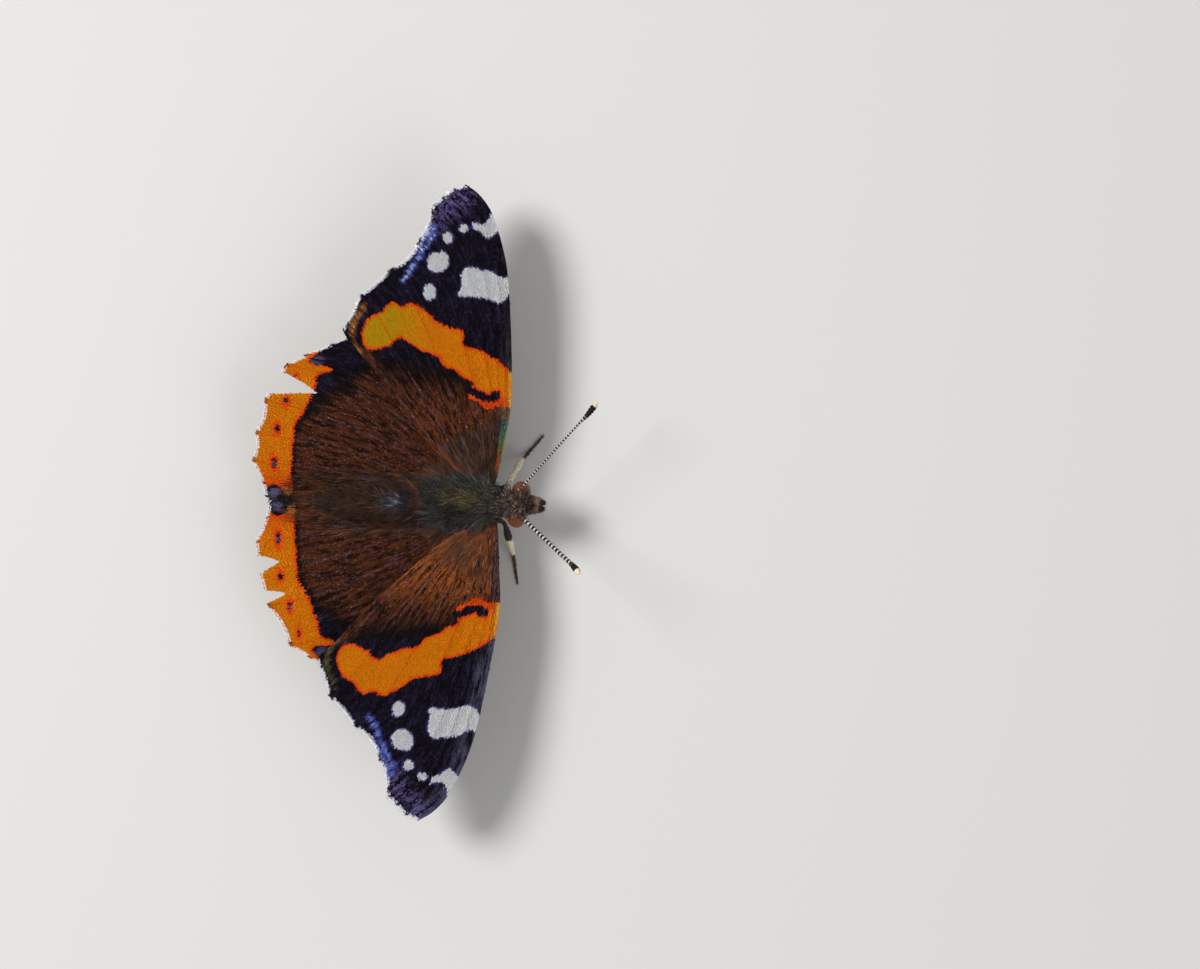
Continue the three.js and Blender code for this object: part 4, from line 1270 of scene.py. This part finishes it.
root_hairs = {"fore": 2600, "hind": 6500}
hair_from = {"fore": 0.12, "hind": 0.02}
hair_reach = 0.14
hair_tones = {1: (0.5, 1.4), -1: (0.7, 1.9)}
down_paint, shade = new_paint("wing_hair")
lie = shade.stored_vector("lie")
streak = lie.stretched(0.4, 2.2, 1).noise(1.0, 4.0)
colour = streak.between(0.4, 0.6).blend(tint(42, 25, 17), tint(96, 60, 36))
greyer = lie.stretched(0.4, 3.1, 3).noise(1.1).between(0.58, 0.7)
colour = greyer.blend(colour, tint(98, 80, 90))
_, over, side = lie.parts()
out, fore, _ = shade.stored_vector("flat").parts()
ridge = over.between(12.3, 13.2) * streak.between(0.36, 0.56)
colour = (ridge * 0.75).blend(colour, tint(128, 68, 36))
shaded = fore.between(-14.5, -16.5) * (out + (streak - 0.5)).between(-1.4, -2.0)
colour = shaded.blend(colour, tint(16, 11, 12))
warm = lie.stretched(0.3, 2.6, 2).noise(1.3).between(0.44, 0.6)
warm = side.between(1.0, -1.0) * shade.stored("costal") * warm
colour = (warm * 0.8).blend(colour, tint(150, 82, 36))
lay_paint(shade, colour.times(shade.stored("tone")), 0.6, Sheen_Weight=0.04, Specular_IOR_Level=0.15)
for wing in wings:
    many = root_hairs[wing.kind]
    out = draw.uniform(0.0, 1, many) ** 1.3
    across = draw.uniform(hair_from[wing.kind], 0.99, many)
    further = 0.08 if wing.kind == "fore" else 0.75 * smooth_step(across, 0.62, 0.95)
    out = out * (hair_reach + further)
    beds = [wing_bed(wing, out, across, 1.5, 0.055, lift=0.1, spread=0.12, draw=draw, keel=0.3,
                     tones=hair_tones[wing.hand])]
    if wing.kind == "hind":
        out, across = draw.uniform(0.1, 0.97, edge_hairs), draw.uniform(0.97, 1, edge_hairs)
        beds.append(wing_bed(wing, out, across, 0.7, 0.06, lift=0.1, spread=0.2, draw=draw, keel=0.3,
                             tones=(0.4, 1.0), inwards=0.7))
    coat_piece(wing.name + "_hair", beds, down_paint)

# The legs: hollow jointed tubes of horn, hung from the underside of the thorax. The first pair are
# short hairy brushes held against the chest, and the other four stand on two-clawed feet. Scales
# cover them, cream on the shin and dark on the thigh, and the foot is bare, brown and spiny. On the
# right middle leg the upper shin is painted dark too, as painted shade.
middle_legs = {  # out, fore, height and radius along each leg
    1: [[0.9, 4.6, 4.3, 0.36], [1.2, 5.3, 3.9, 0.38], [1.45, 6.6, 4.5, 0.33], [1.6, 7.7, 5.0, 0.22],
        [1.9, 8.15, 4.7, 0.2], [2.5, 8.5, 3.8, 0.34], [3.1, 8.85, 2.85, 0.19], [3.6, 9.1, 2.1, 0.31],
        [4.3, 9.5, 1.0, 0.2], [4.7, 9.85, 0.4, 0.14], [5.5, 10.55, 0.15, 0.14], [6.3, 11.25, 0.13, 0.12],
        [6.8, 11.7, 0.12, 0.09]],
    -1: [[0.9, 4.6, 4.3, 0.36], [1.2, 5.3, 3.9, 0.38], [1.55, 6.6, 4.5, 0.33], [1.8, 7.6, 5.0, 0.22],
         [2.15, 7.9, 4.7, 0.2], [3.1, 8.15, 3.5, 0.35], [4.1, 8.4, 2.1, 0.33], [4.9, 8.6, 1.0, 0.21],
         [5.4, 8.7, 0.4, 0.14], [6.5, 8.85, 0.15, 0.14], [7.5, 9.0, 0.13, 0.12],
         [8.15, 9.1, 0.12, 0.09]],
}
hind_leg = [[1.0, 2.4, 4.2, 0.36], [1.7, 2.1, 3.4, 0.38], [3.4, 0.9, 3.7, 0.33], [5.1, -0.4, 4.4, 0.22],
            [5.4, -0.9, 4.1, 0.2], [6.0, -2.1, 3.0, 0.27], [6.6, -3.3, 1.9, 0.25], [7.0, -4.2, 1.0, 0.19],
            [7.2, -4.8, 0.4, 0.14], [7.4, -5.8, 0.15, 0.14], [7.55, -6.8, 0.13, 0.12],
            [7.6, -7.55, 0.12, 0.09]]
brush_leg = [[0.75, 6.7, 4.6, 0.26], [0.85, 7.3, 4.0, 0.28], [0.9, 8.0, 4.2, 0.24], [0.9, 8.5, 4.55, 0.2],
             [0.95, 8.3, 5.0, 0.2], [1.0, 8.0, 5.2, 0.1]]
foot_joints = 5
joint_length = 0.62
joint_swell = 0.16
foot_length = foot_joints * joint_length
claw = 0.28
claw_gap = 0.04
claw_spread = 0.45
claw_chart = 0.98
brush_dark = 7.6
# how far from the tip the right middle leg's shin stays cream; above that it is painted dark as painted shade
unshaded_shin = 4.5
pale_leg = 9.0
dark_from = 3.0
dark_fade = 2.2
leg_scales = {  # by whether the leg walks: how many, length, width, lift, spread
    True: (1500, 0.24, 0.06, 0.2, 0.3),
    False: (900, 0.55, 0.06, 0.5, 0.3),
}
scaled_share = {True: 0.8, False: 1.0}
spines = (130, 0.3, 0.035, 1.0, 0.4)
spined_from = 0.4

leg_paint, shade = new_paint("leg")
to_tip = shade.stored("to_tip")
clouds = shade.stored_vector("place").noise(4.0, 3.0)
foot = (to_tip + (clouds - 0.5) * 0.4).between(foot_length + 0.4, foot_length)
colour = foot.blend(tint(255, 244, 214), tint(96, 64, 38))
colour = (clouds.between(0.6, 0.72) * 0.5).blend(colour, tint(140, 116, 88))
colour = (to_tip + (clouds - 0.5) * 0.8).between(7.9, 8.9).blend(colour, tint(56, 44, 36))
lay_paint(shade, colour.times(shade.stored("tone")), 0.6, clouds, 0.02, Specular_IOR_Level=0.25)


def jointed(whole):
    """The swell of a foot's joints, over the last stretch of a leg."""
    def shape(reach):
        left = reach[-1] - reach
        swell = joint_swell * np.cos(2 * np.pi * left / joint_length)
        return 1 + np.where(left < foot_length, swell, 0) * whole
    return shape


def from_tip(left, paler, walks):
    """The length left to the tip, as the paint reads it: past a given length the leg is dark."""
    dark = dark_from * smooth_step(left, paler, paler + dark_fade)
    return left + dark + (0 if walks else brush_dark)


draw = np.random.default_rng(59)
for hand, side in side_of.items():
    legs = {"fore": brush_leg, "mid": middle_legs[hand], "hind": hind_leg}
    for pair, path in legs.items():
        walks = pair != "fore"
        route = np.array([[middle_line + hand * out, -fore, up, size] for out, fore, up, size in path])
        net, reach = limb_net(route, per_span=10, shape=jointed(walks))
        net[..., 2] = np.maximum(net[..., 2], 0)
        # the right middle leg's upper shin is painted dark, as painted shade
        paler = unshaded_shin if (pair, side) == ("mid", "right") else pale_leg
        values = {"to_tip": from_tip(reach[-1] - limb_values(reach), paler, walks), "tone": 0.9}
        name = f"leg_{pair}_{side}"
        leg = limb_piece(name + "_horn", net, leg_paint, values)
        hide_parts(name)
        scaled = scaled_share[walks]
        beds = [limb_bed(net, reach, *leg_scales[walks], draw, lambda share: share < scaled)]
        if walks:
            beds.append(limb_bed(net, reach, *spines, draw, lambda share: share > spined_from))
            tip = net[-1, :-1].mean(0)
            way = unit(net[-1, :-1].mean(0) - net[-4, :-1].mean(0))
            beside = np.cross(way, [0, 0, 1.0]) * np.array([[1], [-1]])
            made = blades(tip - way * hair_sink + beside * claw_gap, unit(way + beside * claw_spread),
                          np.repeat([[0, 0, 1.0]], 2, axis=0), claw, width=0.06, lift=0.25, droop=0.5)
            values = {"along": np.full(2, reach[-1]), "tone": np.full(2, 0.5)}
            beds.append((made, np.full((2, 2), claw_chart), values))
        for bed in beds:
            bed[0][..., 2] = np.maximum(bed[0][..., 2], 0)
            bed[2]["to_tip"] = from_tip(reach[-1] - bed[2]["along"], paler, walks)
        coat_piece(name + "_scales", beds, leg_paint)

# Floor, light and camera: a pale table under a large soft lamp from the rear left, looked at from
# straight above with the head to the right.
view_centre = (0.0020, -0.01745)
view_width = 0.12
view_distance = 0.5
wing_plane = 0.007
sensor = 36

floor_half = 1.5
floor_mesh = bpy.data.meshes.new("floor")
corners = [(x * floor_half, y * floor_half, 0) for x, y in ((-1, -1), (1, -1), (1, 1), (-1, 1))]
floor_mesh.from_pydata(corners, [], [(0, 1, 2, 3)])
floor = placed("floor", floor_mesh)
floor_paint, shade = new_paint("pale_floor")
lay_paint(shade, tint(214, 212, 208), 0.85)
floor_mesh.materials.append(floor_paint)


def lamp(name, place, size, power):
    """A round lamp that looks at the middle of the floor."""
    light = bpy.data.lights.new(name, "AREA")
    light.shape = "DISK"
    light.size = size
    light.energy = power
    made = placed(name, light)
    made.location = place
    way = -np.array(place)
    made.rotation_euler = (math.atan2(math.hypot(way[0], way[1]), -way[2]), 0,
                           math.atan2(way[1], way[0]) - math.pi / 2)


lamp("key", (0.18, 0.4, 0.55), 0.25, 4.35)
lamp("fill", (-0.4, -0.4, 0.5), 0.6, 1.3)
world = bpy.data.worlds.new("studio")
world.use_nodes = True
sky = world.node_tree.nodes["Background"].inputs
sky["Color"].default_value = (0.95, 0.97, 1.0, 1)
sky["Strength"].default_value = 0.35
bpy.context.scene.world = world
bpy.context.scene.view_settings.view_transform = "Standard"

camera_data = bpy.data.cameras.new("camera")
camera_data.sensor_width = sensor
camera_data.lens = sensor * view_distance / view_width
camera_data.clip_start = 0.01
camera = placed("camera", camera_data)
camera.location = (*view_centre, wing_plane + view_distance)
camera.rotation_euler = (0, 0, math.radians(-90))
bpy.context.scene.camera = camera
